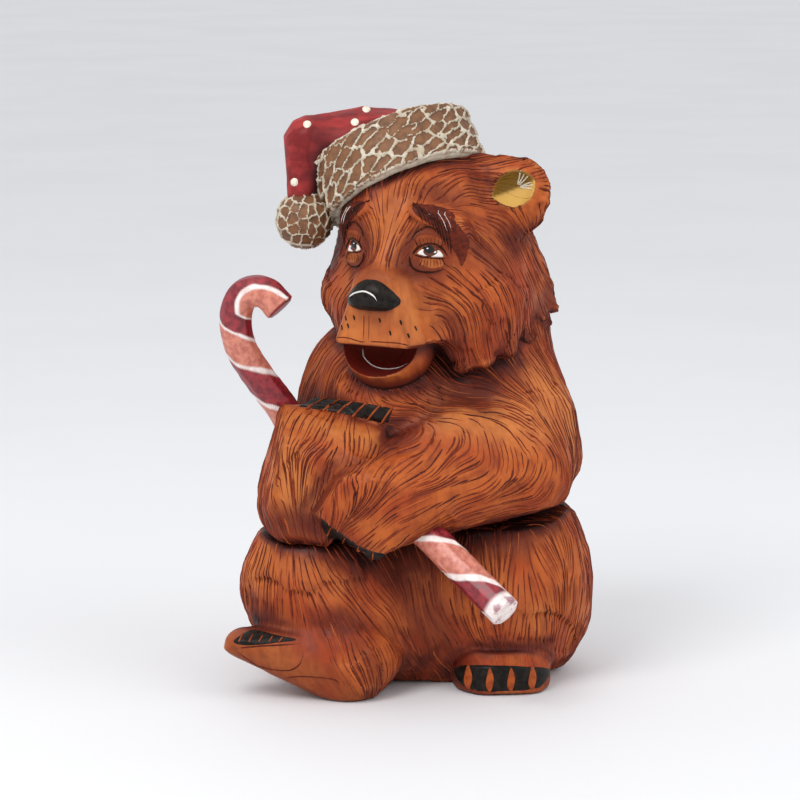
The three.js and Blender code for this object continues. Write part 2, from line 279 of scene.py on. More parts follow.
# ---- torso and arms ----
trunk = join(6, ball((5, 4, 50), (27, 23.5, 30)), ball((-10, 4, 52), (16.5, 17, 26)))
cloak = common(
    1.6,
    join(5, limb((13.5, 4, 70), (15, 4, 46), 17.2, 21.8), ball((21, -5, 52), (14.5, 15, 18))),
    behind((17, 0, 34.2), (0.40, 0, -0.92)),
)
chest = ball((-3, -8, 62), (15, 14, 12))
left_arm = common(
    1.6,
    join(
        4,
        limb((20, -10, 52), (21, -13, 47), 13, 12.5),
        limb((21, -12, 47), (-6, -26, 42.5), 12.5, 9.5),
        limb((8, -17, 54), (-10, -27, 43), 9.5, 7.2),
        placed((-11, -27, 39.2), turned(4) @ turned(0, 0, 38), slab((9.6, 7, 7.4), 2.6)),
    ),
    behind((-14.0, -27, 33.2), (-0.60, -0.25, -0.76)),
    behind((-6, -33.2, 40), (-0.1, -1, -0.1)),
    behind((8, -24, 34.6), (0.25, -0.1, -1)),
)
right_arm = common(
    1.6,
    join(
        4,
        placed((-19, -15, 47.5), turned(-10, 0, 6), slab((13, 12, 15.5), 4)),
        ball((-25, -11, 43), (9, 12, 9.5)),
    ),
    behind((-18, -27.5, 53.5), (0, -0.62, 0.78)),
    behind((-31, -14, 52), (-1, -0.2, 0.22)),
    behind((-34, -18, 44), (-1, -0.35, -0.35)),
    behind((-16, -20, 62.6), (0.06, 0.25, 1)),
    behind((-6, -24, 50), (0.8, -0.2, -0.55)),
)
torso_form = common(1.3, join(5, trunk, chest), behind((0, 0, 35.2), (0.05, 0, -1)))
torso_form = join(1.5, torso_form, cloak)
torso_form = join(0.8, torso_form, right_arm)
torso_form = join(2.0, torso_form, left_arm)

# ---- haunches and feet ----
seat = ball((1, 5, 18), (33, 24.5, 27))
right_thigh = join(5, ball((-19.5, -10, 21), (18, 18, 19)), limb((-4, -10, 14), (-20, -14, 12), 13, 11))
left_thigh = join(4, ball((19, -3, 21), (20, 20.5, 24)), ball((24, 2, 14), (14.5, 17, 16)))
haunch_form = common(
    1.2,
    join(1.2, join(4, seat, left_thigh), right_thigh),
    behind((0, 0, 36.4), (-0.05, -0.1, 1)),
)
right_foot = common(
    1.4,
    join(3, limb((-15, -22, 7), (-35.8, -24.5, 11.2), 9.5, 4.7), ball((-15, -21, 8), (13, 10, 10))),
    behind((-26, -28.5, 5.5), (-0.3, -0.8, -0.52)),
    behind((-26, -24, 2.6), (-0.42, -0.2, -0.88)),
    behind((-32, -22, 15.6), (-0.1, -0.15, 0.97)),
)
left_foot = common(
    1.0,
    placed((18.8, -15.5, 4.6), turned(6), slab((10.8, 8.6, 4.9), 2.4)),
    placed((18.8, -13, 2), turned(6), ball((0, 0, 0), (11.6, 11.8, 12))),
)
between_legs = join(
    2,
    limb((-1.2, -25, 36), (2.2, -24.4, 21), 3.6, 3.8),
    limb((2.2, -24.4, 21), (6.0, -23.6, 2), 3.8, 4.2),
)
haunch_form = carved(1.5, haunch_form, between_legs)
haunch_form = join(1.5, haunch_form, right_foot)
haunch_form = join(0.5, haunch_form, left_foot)
haunch_form = common(0.6, haunch_form, behind((0, 0, 0), (0, 0, -1)))

# ---- hat ----
def band(p):
    """The brim's ring about its own axis, with eased edges."""
    ease = 1.3
    middle = (BRIM_OUTER + BRIM_INNER) / 2
    across = np.abs(np.hypot(p[:, 0], p[:, 1]) - middle) - (BRIM_OUTER - middle - ease)
    along = np.abs(p[:, 2]) - (BRIM_HALF_HEIGHT - ease)
    q = np.stack([across, along], 1)
    return lengths(np.maximum(q, 0)) + np.minimum(q.max(1), 0) - ease


brim_form = placed(HAT, HAT_TURN, band)
crown_form = join(
    2.5,
    join(3, ball((-5, 4, 114.6), (14.5, 14, 8.0)), limb((-11, 3, 116.2), (-20, 1, 115.8), 7, 6.2)),
    limb((-22.5, 0, 115.5), (-23.6, -1.2, 104.5), 5.6, 3.8),
)
POMPOM = np.array([-23.4, -2.0, 99.3])
pompom_form = ball(POMPOM, (6.4, 6.4, 6.4))


# ---- from a form to a mesh ----
CORNERS = [(i, j, k) for i in (0, 1) for j in (0, 1) for k in (0, 1)]
BLOCK = 4  # voxels along a side of the blocks that are tried first
COARSE_VOXEL = 0.9
CHUNK = 8000  # points worked on at a time, to save memory


def measured(form, points):
    """A form's distances at points."""
    return form(points.astype(np.float32))


def shell(form, low, high, voxel):
    """Vertices and quads on a form's surface in a box. Only blocks near the surface are worked out finely."""
    if not FINE:
        voxel = COARSE_VOXEL
    low = np.array(low, np.float32)
    cells = np.ceil((np.array(high) - low) / (voxel * BLOCK)).astype(int)
    axes = [low[i] + voxel * BLOCK * (np.arange(cells[i]) + 0.5) for i in range(3)]
    centres = np.stack(np.meshgrid(*axes, indexing="ij"), -1).reshape(-1, 3).astype(np.float32)
    rough = form(centres).reshape(cells)
    near = np.abs(rough) < voxel * BLOCK * 1.1
    near_fine = near.repeat(BLOCK, 0).repeat(BLOCK, 1).repeat(BLOCK, 2)
    field = np.sign(rough).repeat(BLOCK, 0).repeat(BLOCK, 1).repeat(BLOCK, 2).astype(np.float32)
    field[near_fine] = measured(form, low + voxel * (np.argwhere(near_fine) + 0.5))
    inside = field < 0
    count = np.zeros([n - 1 for n in field.shape], np.int8)
    for corner in CORNERS:
        window = tuple(slice(c, n - 1 + c) for c, n in zip(corner, field.shape))
        count += inside[window]
    crossing = (count > 0) & (count < 8)
    cell = np.argwhere(crossing)
    number = np.full(count.shape, -1, np.int64)
    number[crossing] = np.arange(len(cell))
    total = np.zeros((len(cell), 3))
    hits = np.zeros(len(cell))
    for corner in CORNERS:
        for axis in range(3):
            if corner[axis]:
                continue
            step = np.zeros(3, int)
            step[axis] = 1
            a = field[tuple((cell + corner).T)]
            b = field[tuple((cell + corner + step).T)]
            cut = (a < 0) != (b < 0)
            t = a[cut] / (a[cut] - b[cut])
            total[cut] += np.array(corner) + t[:, None] * step
            hits[cut] += 1
    vertices = low + voxel * (cell + 0.5 + total / hits[:, None])
    quads = []
    for axis in range(3):
        first, second = [(1, 2), (2, 0), (0, 1)][axis]
        below = [slice(None)] * 3
        above = [slice(None)] * 3
        below[axis] = slice(0, -1)
        above[axis] = slice(1, None)
        edge = np.argwhere(inside[tuple(below)] != inside[tuple(above)])
        d1 = np.eye(3, dtype=int)[first]
        d2 = np.eye(3, dtype=int)[second]
        ring = [number[tuple((edge - d).T)] for d in (d1 + d2, d2, 0 * d1, d1)]
        quad = np.stack(ring, 1)
        outward = ~inside[tuple(edge.T)]
        quad[outward] = quad[outward][:, ::-1]
        quads.append(quad)
    return vertices, np.concatenate(quads)


def slope(form, points, reach=0.15):
    """The outward directions of a form's surface at points."""
    out = np.empty((len(points), 3))
    for axis in range(3):
        step = np.zeros(3, np.float32)
        step[axis] = reach
        out[:, axis] = measured(form, points + step) - measured(form, points - step)
    return unit(out)


def settle(form, points, rounds=2):
    """Points moved onto a form's surface along its slope."""
    for _ in range(rounds):
        points = points - slope(form, points) * measured(form, points)[:, None] * 0.9
    return points


# ---- random variation ----
LATTICE_SIDE = 32
LATTICE = RANDOM.random((LATTICE_SIDE,) * 3)


def noise(points, size):
    """Smooth random values from -1 to 1, in cells of a given size."""
    q = np.asarray(points) / size
    base = np.floor(q).astype(int)
    t = q - base
    t = t * t * (3 - 2 * t)
    total = np.zeros(len(q))
    for corner in CORNERS:
        weight = np.prod(np.where(corner, t, 1 - t), axis=1)
        total += weight * LATTICE[tuple(((base + corner) % LATTICE_SIDE).T)]
    return total * 2 - 1


def ramp(value, start, end):
    t = np.clip((value - start) / (end - start), 0, 1)
    return t * t * (3 - 2 * t)


# ---- which way the fur lies ----
def flow(guides):
    """A direction for every point, led by guides: rows of a place and a direction."""
    places = np.array([place for place, _ in guides], float)
    ways = unit([way for _, way in guides])

    def way_at(points):
        apart = ((points[:, None, :] - places[None]) ** 2).sum(2)
        led = unit((1 / (apart + 6.0) ** 2) @ ways)
        wander = np.stack([noise(points + shift, 7.0) for shift in (0.0, 50.0, 100.0)], 1)
        return unit(led + SWAY * wander)

    return way_at


def lying(way, normals):
    """Directions laid flat on a surface."""
    return unit(way - normals * (way * normals).sum(1, keepdims=True))


def combed(points, way, size, reach=5.0):
    """Noise smeared along the fur, so that it runs in streaks."""
    steps = np.linspace(-reach, reach, 13)
    return sum(noise(points + step * way, size) for step in steps) / math.sqrt(len(steps))


# ---- knife work on the surface ----
def facets(points, normals, spacing, depth, bulge):
    """How deep a flat knife cuts at each point: flats at random sites, most where the form bulges."""
    sites = RANDOM.choice(len(points), max(8, int(len(points) * 0.36 / spacing**2)), replace=False)
    centre, outward = points[sites], normals[sites]
    offset = (centre * outward).sum(1)
    cut = np.zeros(len(points))
    for start in range(0, len(points), CHUNK):
        part = slice(start, start + CHUNK)
        apart = ((points[part] ** 2).sum(1)[:, None] + (centre**2).sum(1)) - 2 * points[part] @ centre.T
        height = points[part] @ outward.T - offset + depth
        facing = normals[part] @ outward.T
        near = 1 - ramp(np.sqrt(np.maximum(apart, 0)), spacing, 1.7 * spacing)
        cut[part] = (height * near * ramp(facing, 0.5, 0.75)).max(1)
    return np.clip(cut, 0, 2.0 * depth) * bulge


def bulging(form, points):
    """From 0 where a form is hollow or flat to 1 where it is rounded, and the curvature itself."""
    reach = 1.2
    total = -6 * measured(form, points)
    for axis in range(3):
        step = np.zeros(3, np.float32)
        step[axis] = reach
        total = total + measured(form, points + step) + measured(form, points - step)
    return ramp(total / reach**2, 0.0, 0.09), total / reach**2


def crevice_shade(points, normals):
    """Painted shade: from 0 in the open to 1 deep between two masses of the whole figure. Undersides count as
    half shaded.
    """
    shut = 0.16 * ramp(-normals[:, 2], 0.1, 0.8)
    for reach, share in ((1.2, 0.3), (3.5, 0.3), (8.0, 0.25), (15.0, 0.25)):
        free = measured(whole, points + normals * reach)
        shut += share * np.clip(1 - free / reach, 0, 1)
    return shut


def soften(values, quads, rounds):
    """Values at a mesh's vertices, averaged with their neighbours' again and again."""
    shares = np.bincount(quads.ravel(), minlength=len(values))
    for _ in range(rounds):
        middle = np.repeat(values[quads].mean(1), 4)
        values = np.bincount(quads.ravel(), middle, len(values)) / shares
    return values


# ---- meshes ----
def add_mesh(name, vertices, faces):
    """A smooth-shaded mesh from the sculptor's millimetres."""
    mesh = bpy.data.meshes.new(name)
    faces = [tuple(face) for face in (faces if isinstance(faces, list) else faces.tolist())]
    mesh.from_pydata(((np.asarray(vertices) + SHIFT) * MM).tolist(), [], faces)
    mesh.polygons.foreach_set("use_smooth", [True] * len(mesh.polygons))
    mesh.update()
    thing = bpy.data.objects.new(name, mesh)
    bpy.context.scene.collection.objects.link(thing)
    return thing


def paint(thing, **values):
    """Stores a number for each vertex, for the materials to read."""
    for name, column in values.items():
        attribute = thing.data.attributes.new(name, "FLOAT", "POINT")
        attribute.data.foreach_set("value", np.asarray(column, np.float32))


def finish_piece(piece, coat, node=None):
    """Gives a piece the material of its coat, and lets it stand for a CAD node."""
    material, slot = coat
    piece.data.materials.append(material)
    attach(piece, "root")
    if node:
        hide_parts(node)


class Surface:
    """A finished mesh that paint can be laid on."""

    def __init__(self, vertices, quads):
        self.tree = BVHTree.FromPolygons(vertices.tolist(), quads.tolist())

    def nearest(self, points):
        hits = [self.tree.find_nearest(Vector(p)) for p in points.tolist()]
        return np.array([h[0] for h in hits]), np.array([h[1] for h in hits])

    def along(self, points, way):
        """Where rays from points along one direction meet the surface, or the nearest place if they miss."""
        hits = [self.tree.ray_cast(Vector(p), Vector(way)) for p in points.tolist()]
        usual = float(np.median([hit[3] for hit in hits if hit[0] is not None]))
        places, normals = self.nearest(points + usual * np.array(way))
        for i, hit in enumerate(hits):
            if hit[0] is not None:
                places[i], normals[i] = hit[0], hit[1]
        return places, normals


SUNK = 0.05  # how far the edges of paint go into the surface


def ribbons(name, paths, normals, widths, shades, lift=0.1):
    """Strokes of paint: thin closed ridges along paths. The arrays' first axes are stroke and step."""
    count, steps = widths.shape
    ahead = np.gradient(paths, axis=1)
    across = unit(np.cross(ahead, normals))
    half = widths[:, :, None] / 2
    top = paths + normals * lift * np.clip(widths / 0.3, 0.5, 1.6)[:, :, None]
    left = paths - across * half - normals * SUNK
    right = paths + across * half - normals * SUNK
    inner = np.stack([left, top, right], 2)[:, 1:-1]
    ends = paths[:, [0, -1]]
    vertices = np.concatenate([inner.reshape(count, -1, 3), ends], 1)
    per = vertices.shape[1]
    rows = steps - 2
    faces = []
    for row in range(rows - 1):
        for side in range(3):
            a, b = row * 3 + side, row * 3 + (side + 1) % 3
            faces.append((a, b, b + 3, a + 3))
    tail, head = per - 2, per - 1
    last = (rows - 1) * 3
    for side in range(3):
        faces.append((tail, (side + 1) % 3, side, side))
        faces.append((head, last + side, last + (side + 1) % 3, last + side))
    pattern = np.array(faces)
    every = (pattern[None] + per * np.arange(count)[:, None, None]).reshape(-1, 4)
    polygons = [tuple(dict.fromkeys(f)) for f in every.tolist()]
    thing = add_mesh(name, vertices.reshape(-1, 3), polygons)
    paint(thing, shade=np.repeat(shades, per))
    return thing


# ---- the whole figure, for shadows between its parts ----
whole = join(0.01, haunch_form, torso_form, head_form, brim_form, crown_form, pompom_form, nose_form)


# ---- materials ----
class Maker:
    """A new material, with short ways to add shader nodes to it."""

    def __init__(self, name):
        self.material = bpy.data.materials.new(name)
        self.material.use_nodes = True
        self.nodes = self.material.node_tree.nodes
        self.links = self.material.node_tree.links

    def put(self, value, socket):
        if isinstance(value, bpy.types.NodeSocket):
            self.links.new(value, socket)
        elif isinstance(value, tuple):
            socket.default_value = (*value, 1) if len(value) == 3 and socket.type == "RGBA" else value
        else:
            socket.default_value = value

    def attribute(self, name):
        node = self.nodes.new("ShaderNodeAttribute")
        node.attribute_name = name
        return node.outputs["Fac"]

    def place(self, stretch=(1, 1, 1)):
        where = self.nodes.new("ShaderNodeTexCoord")
        mapping = self.nodes.new("ShaderNodeMapping")
        mapping.inputs["Scale"].default_value = stretch
        self.links.new(where.outputs["Object"], mapping.inputs["Vector"])
        return mapping.outputs["Vector"]

    def noise(self, scale, detail=3.0, stretch=(1, 1, 1)):
        node = self.nodes.new("ShaderNodeTexNoise")
        node.inputs["Scale"].default_value = scale
        node.inputs["Detail"].default_value = detail
        node.inputs["Roughness"].default_value = 0.55
        self.links.new(self.place(stretch), node.inputs["Vector"])
        return node.outputs["Fac"]

    def maths(self, operation, a, b=0.5, clamp=False):
        node = self.nodes.new("ShaderNodeMath")
        node.operation = operation
        node.use_clamp = clamp
        self.put(a, node.inputs[0])
        self.put(b, node.inputs[1])
        return node.outputs[0]

    def spread(self, value, low, high, out_low=0.0, out_high=1.0):
        node = self.nodes.new("ShaderNodeMapRange")
        node.interpolation_type = "SMOOTHSTEP"
        for index, number in enumerate((value, low, high, out_low, out_high)):
            self.put(number, node.inputs[index])
        return node.outputs[0]

    def mix(self, amount, a, b):
        node = self.nodes.new("ShaderNodeMix")
        node.data_type = "RGBA"
        self.put(amount, node.inputs[0])
        self.put(a, node.inputs[6])
        self.put(b, node.inputs[7])
        return node.outputs[2]

    def bump(self, height, strength, distance):
        node = self.nodes.new("ShaderNodeBump")
        node.inputs["Strength"].default_value = strength
        node.inputs["Distance"].default_value = distance
        self.links.new(height, node.inputs["Height"])
        return node.outputs["Normal"]

    def coat(self, slot, colour, rough, height=None, strength=0.3, reach=0.0001, shine=0.5, varnish=0.0):
        """Wires the shader up and gives the material with its slot. Reach is the bump's height in metres."""
        sockets = self.nodes["Principled BSDF"].inputs
        self.put(colour, sockets["Base Color"])
        self.put(rough, sockets["Roughness"])
        sockets["Specular IOR Level"].default_value = shine
        sockets["Coat Weight"].default_value = varnish
        if height:
            self.put(self.bump(height, strength, reach), sockets["Normal"])
        return self.material, slot


WOODEN = "stained_wood"  # the slot of everything in the wood's colours
STAIN = (0.47, 0.105, 0.017)
STAIN_DEEP = (0.19, 0.024, 0.005)
TAN = (0.60, 0.20, 0.048)
RED_STAIN = (0.37, 0.050, 0.008)
SHADE = (0.100, 0.011, 0.004)
DEEP_SHADE = (0.018, 0.003, 0.003)
MOUTH_RED = (0.17, 0.012, 0.008)
OCHRE = (0.66, 0.40, 0.10)
OCHRE_IN_SHADE = (0.20, 0.11, 0.015)


def stained_wood():
    """Linden under a brushed brown stain: redder in patches, tan in painted highlights and where rubbed thin
    on edges, with painted shade in the creases.
    """
    make = Maker("stained_wood")
    streak = make.attribute("streak")
    mottled = make.noise(260, 4)
    grain = make.noise(900, 3, (1, 1, 0.14))
    patches = make.noise(75, 2)
    colour = make.mix(make.spread(patches, 0.38, 0.66), STAIN, RED_STAIN)
    dark = make.spread(make.maths("ADD", streak, mottled), 0.45, 1.25, 0.75, 0.0)
    colour = make.mix(dark, colour, STAIN_DEEP)
    # Painted highlight: tan on the lit tops and fronts of the carving.
    pale = make.maths("MULTIPLY", make.attribute("pale"), make.spread(mottled, 0.2, 0.75, 0.55, 1.0))
    # Rounded edges turn tan too: stain rubbed thin there, and painted highlight.
    wear_and_highlight = make.maths("MULTIPLY", make.attribute("edge"), make.spread(mottled, 0.45, 0.6, 0.1, 0.6))
    colour = make.mix(make.maths("MAXIMUM", pale, wear_and_highlight), colour, TAN)
    colour = make.mix(make.spread(grain, 0.42, 0.7, 0.0, 0.25), colour, STAIN_DEEP)
    # Painted shade under the arms, the mane and the thighs and between the legs, with the brown paint over
    # the brows.
    colour = make.mix(make.attribute("shade_and_brow_brown"), colour, SHADE)
    colour = make.mix(make.attribute("mouth"), colour, MOUTH_RED)
    # The ear's ochre is in painted shade on its upper facet, which faces down.
    colour = make.mix(make.attribute("ochre"), colour, make.mix(make.attribute("upper"), OCHRE, OCHRE_IN_SHADE))
    # Painted shade: dark red-brown in the creases and undersides, nearly black in the deepest.
    shut = make.maths("ADD", make.attribute("shut"), make.spread(mottled, 0.3, 0.7, -0.08, 0.08))
    colour = make.mix(make.spread(shut, 0.06, 0.42, 0.0, 0.92), colour, SHADE)
    colour = make.mix(make.spread(shut, 0.38, 0.85, 0.0, 0.94), colour, DEEP_SHADE)
    roughness = make.spread(mottled, 0.3, 0.75, 0.46, 0.62)
    rough = make.maths("ADD", make.maths("MULTIPLY", grain, 0.5), make.noise(1800, 2))
    return make.coat(WOODEN, colour, roughness, rough, 0.35, 0.00012, shine=0.24)


def stroke_paint(name, dark, light):
    """Paint for thin lines: each line has its own shade."""
    make = Maker(name)
    shade = make.attribute("shade")
    drift = make.spread(make.noise(700, 2), 0.3, 0.7, -0.2, 0.2)
    colour = make.mix(make.maths("ADD", shade, drift, clamp=True), dark, light)
    return make.coat(WOODEN, colour, 0.55, shine=0.2)


def paint_coat(name, slot, colour, other, roughness=0.42, bump=0.2, shine=0.5, scale=900):
    """A brushed coat of paint whose colour drifts between two shades."""
    make = Maker(name)
    drift = make.noise(scale, 3)
    colour = make.mix(make.spread(drift, 0.35, 0.7), colour, other)
    roughness = make.spread(drift, 0.3, 0.7, roughness - 0.06, roughness + 0.08)
    return make.coat(slot, colour, roughness, make.noise(scale * 3, 2), bump, shine=shine)


# Each of these is a material and its slot.
WOOD = stained_wood()
DARK_STROKES = stroke_paint("burnt_line", (0.075, 0.010, 0.005), (0.25, 0.038, 0.011))
LIGHT_STROKES = stroke_paint("light_line", (0.32, 0.060, 0.011), (0.44, 0.105, 0.022))
BLACK = paint_coat("black_paint", "black_paint", (0.006, 0.005, 0.004), (0.02, 0.014, 0.011), 0.34, 0.3, 0.14)
PUPIL = paint_coat("pupil_paint", "black_paint", (0.006, 0.004, 0.004), (0.012, 0.008, 0.007), 0.15, 0.0, 0.3)
WHITE = paint_coat("white_paint", "white_paint", (0.88, 0.86, 0.82), (0.74, 0.70, 0.64))
CREAM = paint_coat("cream_paint", "cream_paint", (0.84, 0.79, 0.68), (0.70, 0.62, 0.46))
BROWN = paint_coat("brown_paint", WOODEN, (0.070, 0.010, 0.005), (0.150, 0.022, 0.008), 0.5, 0.2, 0.12)
UMBER = paint_coat("umber_paint", WOODEN, (0.022, 0.005, 0.003), (0.050, 0.009, 0.005), 0.5, 0.2, 0.12)
IRIS = paint_coat("iris_paint", WOODEN, (0.16, 0.035, 0.012), (0.09, 0.018, 0.008), 0.3, 0.0, 0.3)
LID = paint_coat("lid_paint", WOODEN, (0.28, 0.055, 0.012), (0.20, 0.034, 0.008), 0.5, 0.2, 0.2)
LOWER_LID = paint_coat("lower_lid_paint", WOODEN, (0.42, 0.115, 0.028), (0.28, 0.062, 0.014), 0.5, 0.2, 0.2)
RUST = paint_coat("rust_paint", WOODEN, (0.40, 0.080, 0.014), (0.26, 0.042, 0.008), 0.5, 0.2, 0.2)


# ---- guides for the fur: places and directions, in millimetres ----
def head_guides():
    """Guides in the head's frame: the same on both sides, with a few down the middle."""
    one_side = [
        ((3, -23, 2), (0.1, 0.2, 1)),
        ((6, -20, 13), (0.35, 0.4, 1)),
        ((12, -15, 16), (0.8, 0.5, 0.7)),
        ((16, -11, 12), (1, 0.5, 0.15)),
        ((17, -12, 6), (1, 0.5, -0.3)),
        ((9, -22, -2), (0.5, 0.4, -0.7)),
        ((14, -17, -2), (0.7, 0.4, -0.7)),
        ((20, -6, 2), (0.8, 0.6, -0.6)),
        ((18, -9, -6), (0.4, 0.3, -1)),
        ((12, -17, -12), (0.2, 0.1, -1)),
        ((9, -24, -6), (0.6, 0.6, -0.2)),
        ((9, -17, -19), (0.1, 0.3, -1)),
        ((20, -3, -13), (0.4, 0.3, -1)),
        ((22, 9, -4), (0.3, 0.6, -0.8)),
        ((21, 8, 6), (0.4, 0.6, -0.5)),
        ((22, 0, 20), (0.6, 0.4, 0.1)),
        ((27, -1, 12), (0.2, 0.4, -1)),
        ((22, -3, 6), (0.5, 0.3, -0.8)),
        ((14, 4, 19), (0.9, 0.4, 0.2)),
    ]
    middle = [
        ((0, -18, 16), (0, 0.5, 1)),
        ((0, 8, 24), (0, 1, 0)),
        ((0, 25, 4), (0, 0.2, -1)),
        ((0, 23, -12), (0, 0.3, -1)),
    ]
    rows = middle + one_side + [((-x, y, z), (-u, v, w)) for (x, y, z), (u, v, w) in one_side]
    return [(in_head(*place), HEAD_TURN @ np.array(way)) for place, way in rows]


TORSO_GUIDES = [
    ((-3, -18, 60), (0.8, -0.2, -0.3)),
    ((8, -20, 62), (1, 0, -0.35)),
    ((18, -18, 60), (0.9, 0.2, -0.7)),
    ((26, -12, 54), (0.1, 0.1, -1)),
    ((27, -13, 46), (-0.4, -0.1, -0.9)),
    ((20, -22, 41), (-1, -0.3, -0.4)),
    ((14, -22, 54), (0.3, 0, -1)),
    ((10, -24, 48), (-0.9, -0.3, -0.5)),
    ((0, -30, 44), (-0.9, -0.2, -0.35)),
    ((-9, -33, 39), (-0.7, 0, -0.6)),
    ((-2, -24, 54), (-0.6, 0, -0.6)),
    ((30, -6, 66), (0.2, 0, -1)),
    ((35, 0, 56), (0.1, 0, -1)),
    ((35, 2, 42), (0.1, 0, -1)),
    ((30, -10, 40), (-0.1, 0, -1)),
    ((20, 24, 55), (0, 0.1, -1)),
    ((0, 28, 50), (0, 0.1, -1)),
    ((-20, 18, 50), (-0.1, 0.1, -1)),
    ((-28, 2, 55), (-0.1, 0, -1)),
    ((-20, -4, 66), (-0.3, -0.2, -1)),
    ((-18, -26, 57), (-0.35, -0.2, -0.9)),
    ((-10, -27, 54), (-0.35, -0.2, -0.9)),
    ((-24, -27, 46), (-0.1, 0, -1)),
    ((-14, -28, 44), (0.15, 0, -1)),
    ((-32, -14, 48), (0, 0, -1)),
    ((-20, -26, 36), (0.1, 0, -1)),
]

HAUNCH_GUIDES = [
    ((-30, -18, 32), (0.1, -0.2, -1)),
    ((-22, -25, 26), (0.25, 0, -1)),
    ((-14, -27, 26), (0.5, 0, -0.9)),
    ((-34, -16, 22), (0.05, 0, -1)),
    ((-25, -27, 19), (0.15, 0, -1)),
    ((-8, -26, 20), (0.6, 0, -0.8)),
    ((-10, -26, 10), (0.35, 0, -1)),
    ((-2, -20, 30), (0.3, 0, -1)),
    ((-1, -20, 12), (0.35, 0, -1)),
    ((6, -18, 24), (0.25, 0, -1)),
    ((10, -22, 32), (0.1, 0, -1)),
    ((20, -24, 28), (0.15, 0, -1)),
    ((30, -15, 30), (0.2, 0, -1)),
    ((36, -4, 22), (0.1, 0, -1)),
    ((12, -22, 14), (0.25, 0, -1)),
    ((24, -22, 14), (-0.15, 0, -1)),
    ((32, -12, 10), (-0.1, 0, -1)),
    ((30, 16, 20), (0.1, 0.1, -1)),
    ((0, 29, 20), (0, 0.1, -1)),
    ((-28, 16, 20), (-0.1, 0.1, -1)),
    ((-36, 0, 20), (-0.1, 0, -1)),
]


# ---- fur strokes ----
PITCH = 0.64  # between neighbouring strokes
STEPS = 14  # points along a stroke
STROKE_LENGTHS = (4.5, 13.0)
STROKE_WIDTHS = (0.34, 0.70)
LIGHT_SHARE = 0.10
SWAY = 0.42  # how far the fur's direction wanders


def scattered(points, ways, length):
    """Picks points so that strokes of a length from them don't crowd each other."""
    tree = KDTree(len(points))
    for i, p in enumerate(points.tolist()):
        tree.insert(p, i)
    tree.balance()
    free = np.ones(len(points), bool)
    kept = []
    for i in range(len(points)):
        if not free[i]:
            continue
        kept.append(i)
        reach = 0.8 * length[i]
        near = np.array([j for _, j, _ in tree.find_range(points[i].tolist(), reach)])
        apart = points[near] - points[i]
        forward = apart @ ways[i]
        aside = np.sqrt(np.maximum((apart * apart).sum(1) - forward**2, 0))
        free[near[(aside < PITCH) & (np.abs(forward) < reach)]] = False
    return np.array(kept)


def trace(form, way_at, starts, length):
    """Paths that follow the fur over a form from their starts."""
    here = starts
    path = [here]
    for _ in range(STEPS - 1):
        normals = slope(form, here)
        here = here + lying(way_at(here), normals) * (length / (STEPS - 1))[:, None]
        here = settle(form, here, 1)
        path.append(here)
    return np.stack(path, 1)


def fur(name, form, surface, way_at, vertices, ways, look_of):
    """Brush strokes all over a carving, except where it is bare. A few of them are light."""
    candidates = RANDOM.permutation(len(vertices))[: len(vertices) // (5 if FINE else 3)]
    candidates = candidates[RANDOM.random(len(candidates)) > look_of(vertices[candidates])[1]]
    length = RANDOM.uniform(*STROKE_LENGTHS, len(candidates))
    kept = scattered(vertices[candidates], ways[candidates], length)
    starts, length = vertices[candidates][kept], length[kept]
    paths = trace(form, way_at, starts, length)
    flat, normals = surface.nearest(paths.reshape(-1, 3))
    flat, normals = flat.reshape(paths.shape), normals.reshape(paths.shape)
    along = np.linspace(0, 1, STEPS)
    widest = RANDOM.uniform(*STROKE_WIDTHS, len(starts))
    widths = widest[:, None] * (np.minimum(along / 0.2 + 0.2, 1) * (1 - along) ** 0.45)[None]
    widths *= 1 - look_of(flat.reshape(-1, 3))[1].reshape(widths.shape)
    shades = RANDOM.random(len(starts))
    light = RANDOM.random(len(starts)) < LIGHT_SHARE
    for part, some, coat in (("strokes", ~light, DARK_STROKES), ("light_strokes", light, LIGHT_STROKES)):
        finish_piece(ribbons(f"{name}_{part}", flat[some], normals[some], widths[some], shades[some]), coat)


# ---- painted patches and lines ----
BOARD_DISTANCE = 60.0  # the drawing board in front of what is drawn on
RIM_SUNK = 0.04  # how far a pad's rim lies in the surface, and then its underside
UNDER_SUNK = 0.15


def smooth_through(points, count, closed=False):
    """A smooth curve of count points through given ones."""
    points = np.asarray(points, float)
    if closed:
        padded = np.concatenate([points[-1:], points, points[:2]])
        spans = len(points)
    else:
        padded = np.concatenate([2 * points[:1] - points[1:2], points, 2 * points[-1:] - points[-2:-1]])
        spans = len(points) - 1
    at = np.linspace(0, spans, count, endpoint=not closed)
    start = np.minimum(at.astype(int), spans - 1)
    t = (at - start)[:, None]
    a, b, c, d = (padded[start + k] for k in range(4))
    return 0.5 * (2 * b + (c - a) * t + (2 * a - 5 * b + 4 * c - d) * t**2 + (3 * b - a - 3 * c + d) * t**3)


def oval(x, z, wide, high, tilt=0.0, count=20):
    """An outline in a plane seen from the front."""
    angle = np.linspace(0, 2 * math.pi, count, endpoint=False)
    u, v = wide * np.cos(angle), high * np.sin(angle)
    c, s = math.cos(math.radians(tilt)), math.sin(math.radians(tilt))
    return np.stack([x + c * u - s * v, z + s * u + c * v], 1)


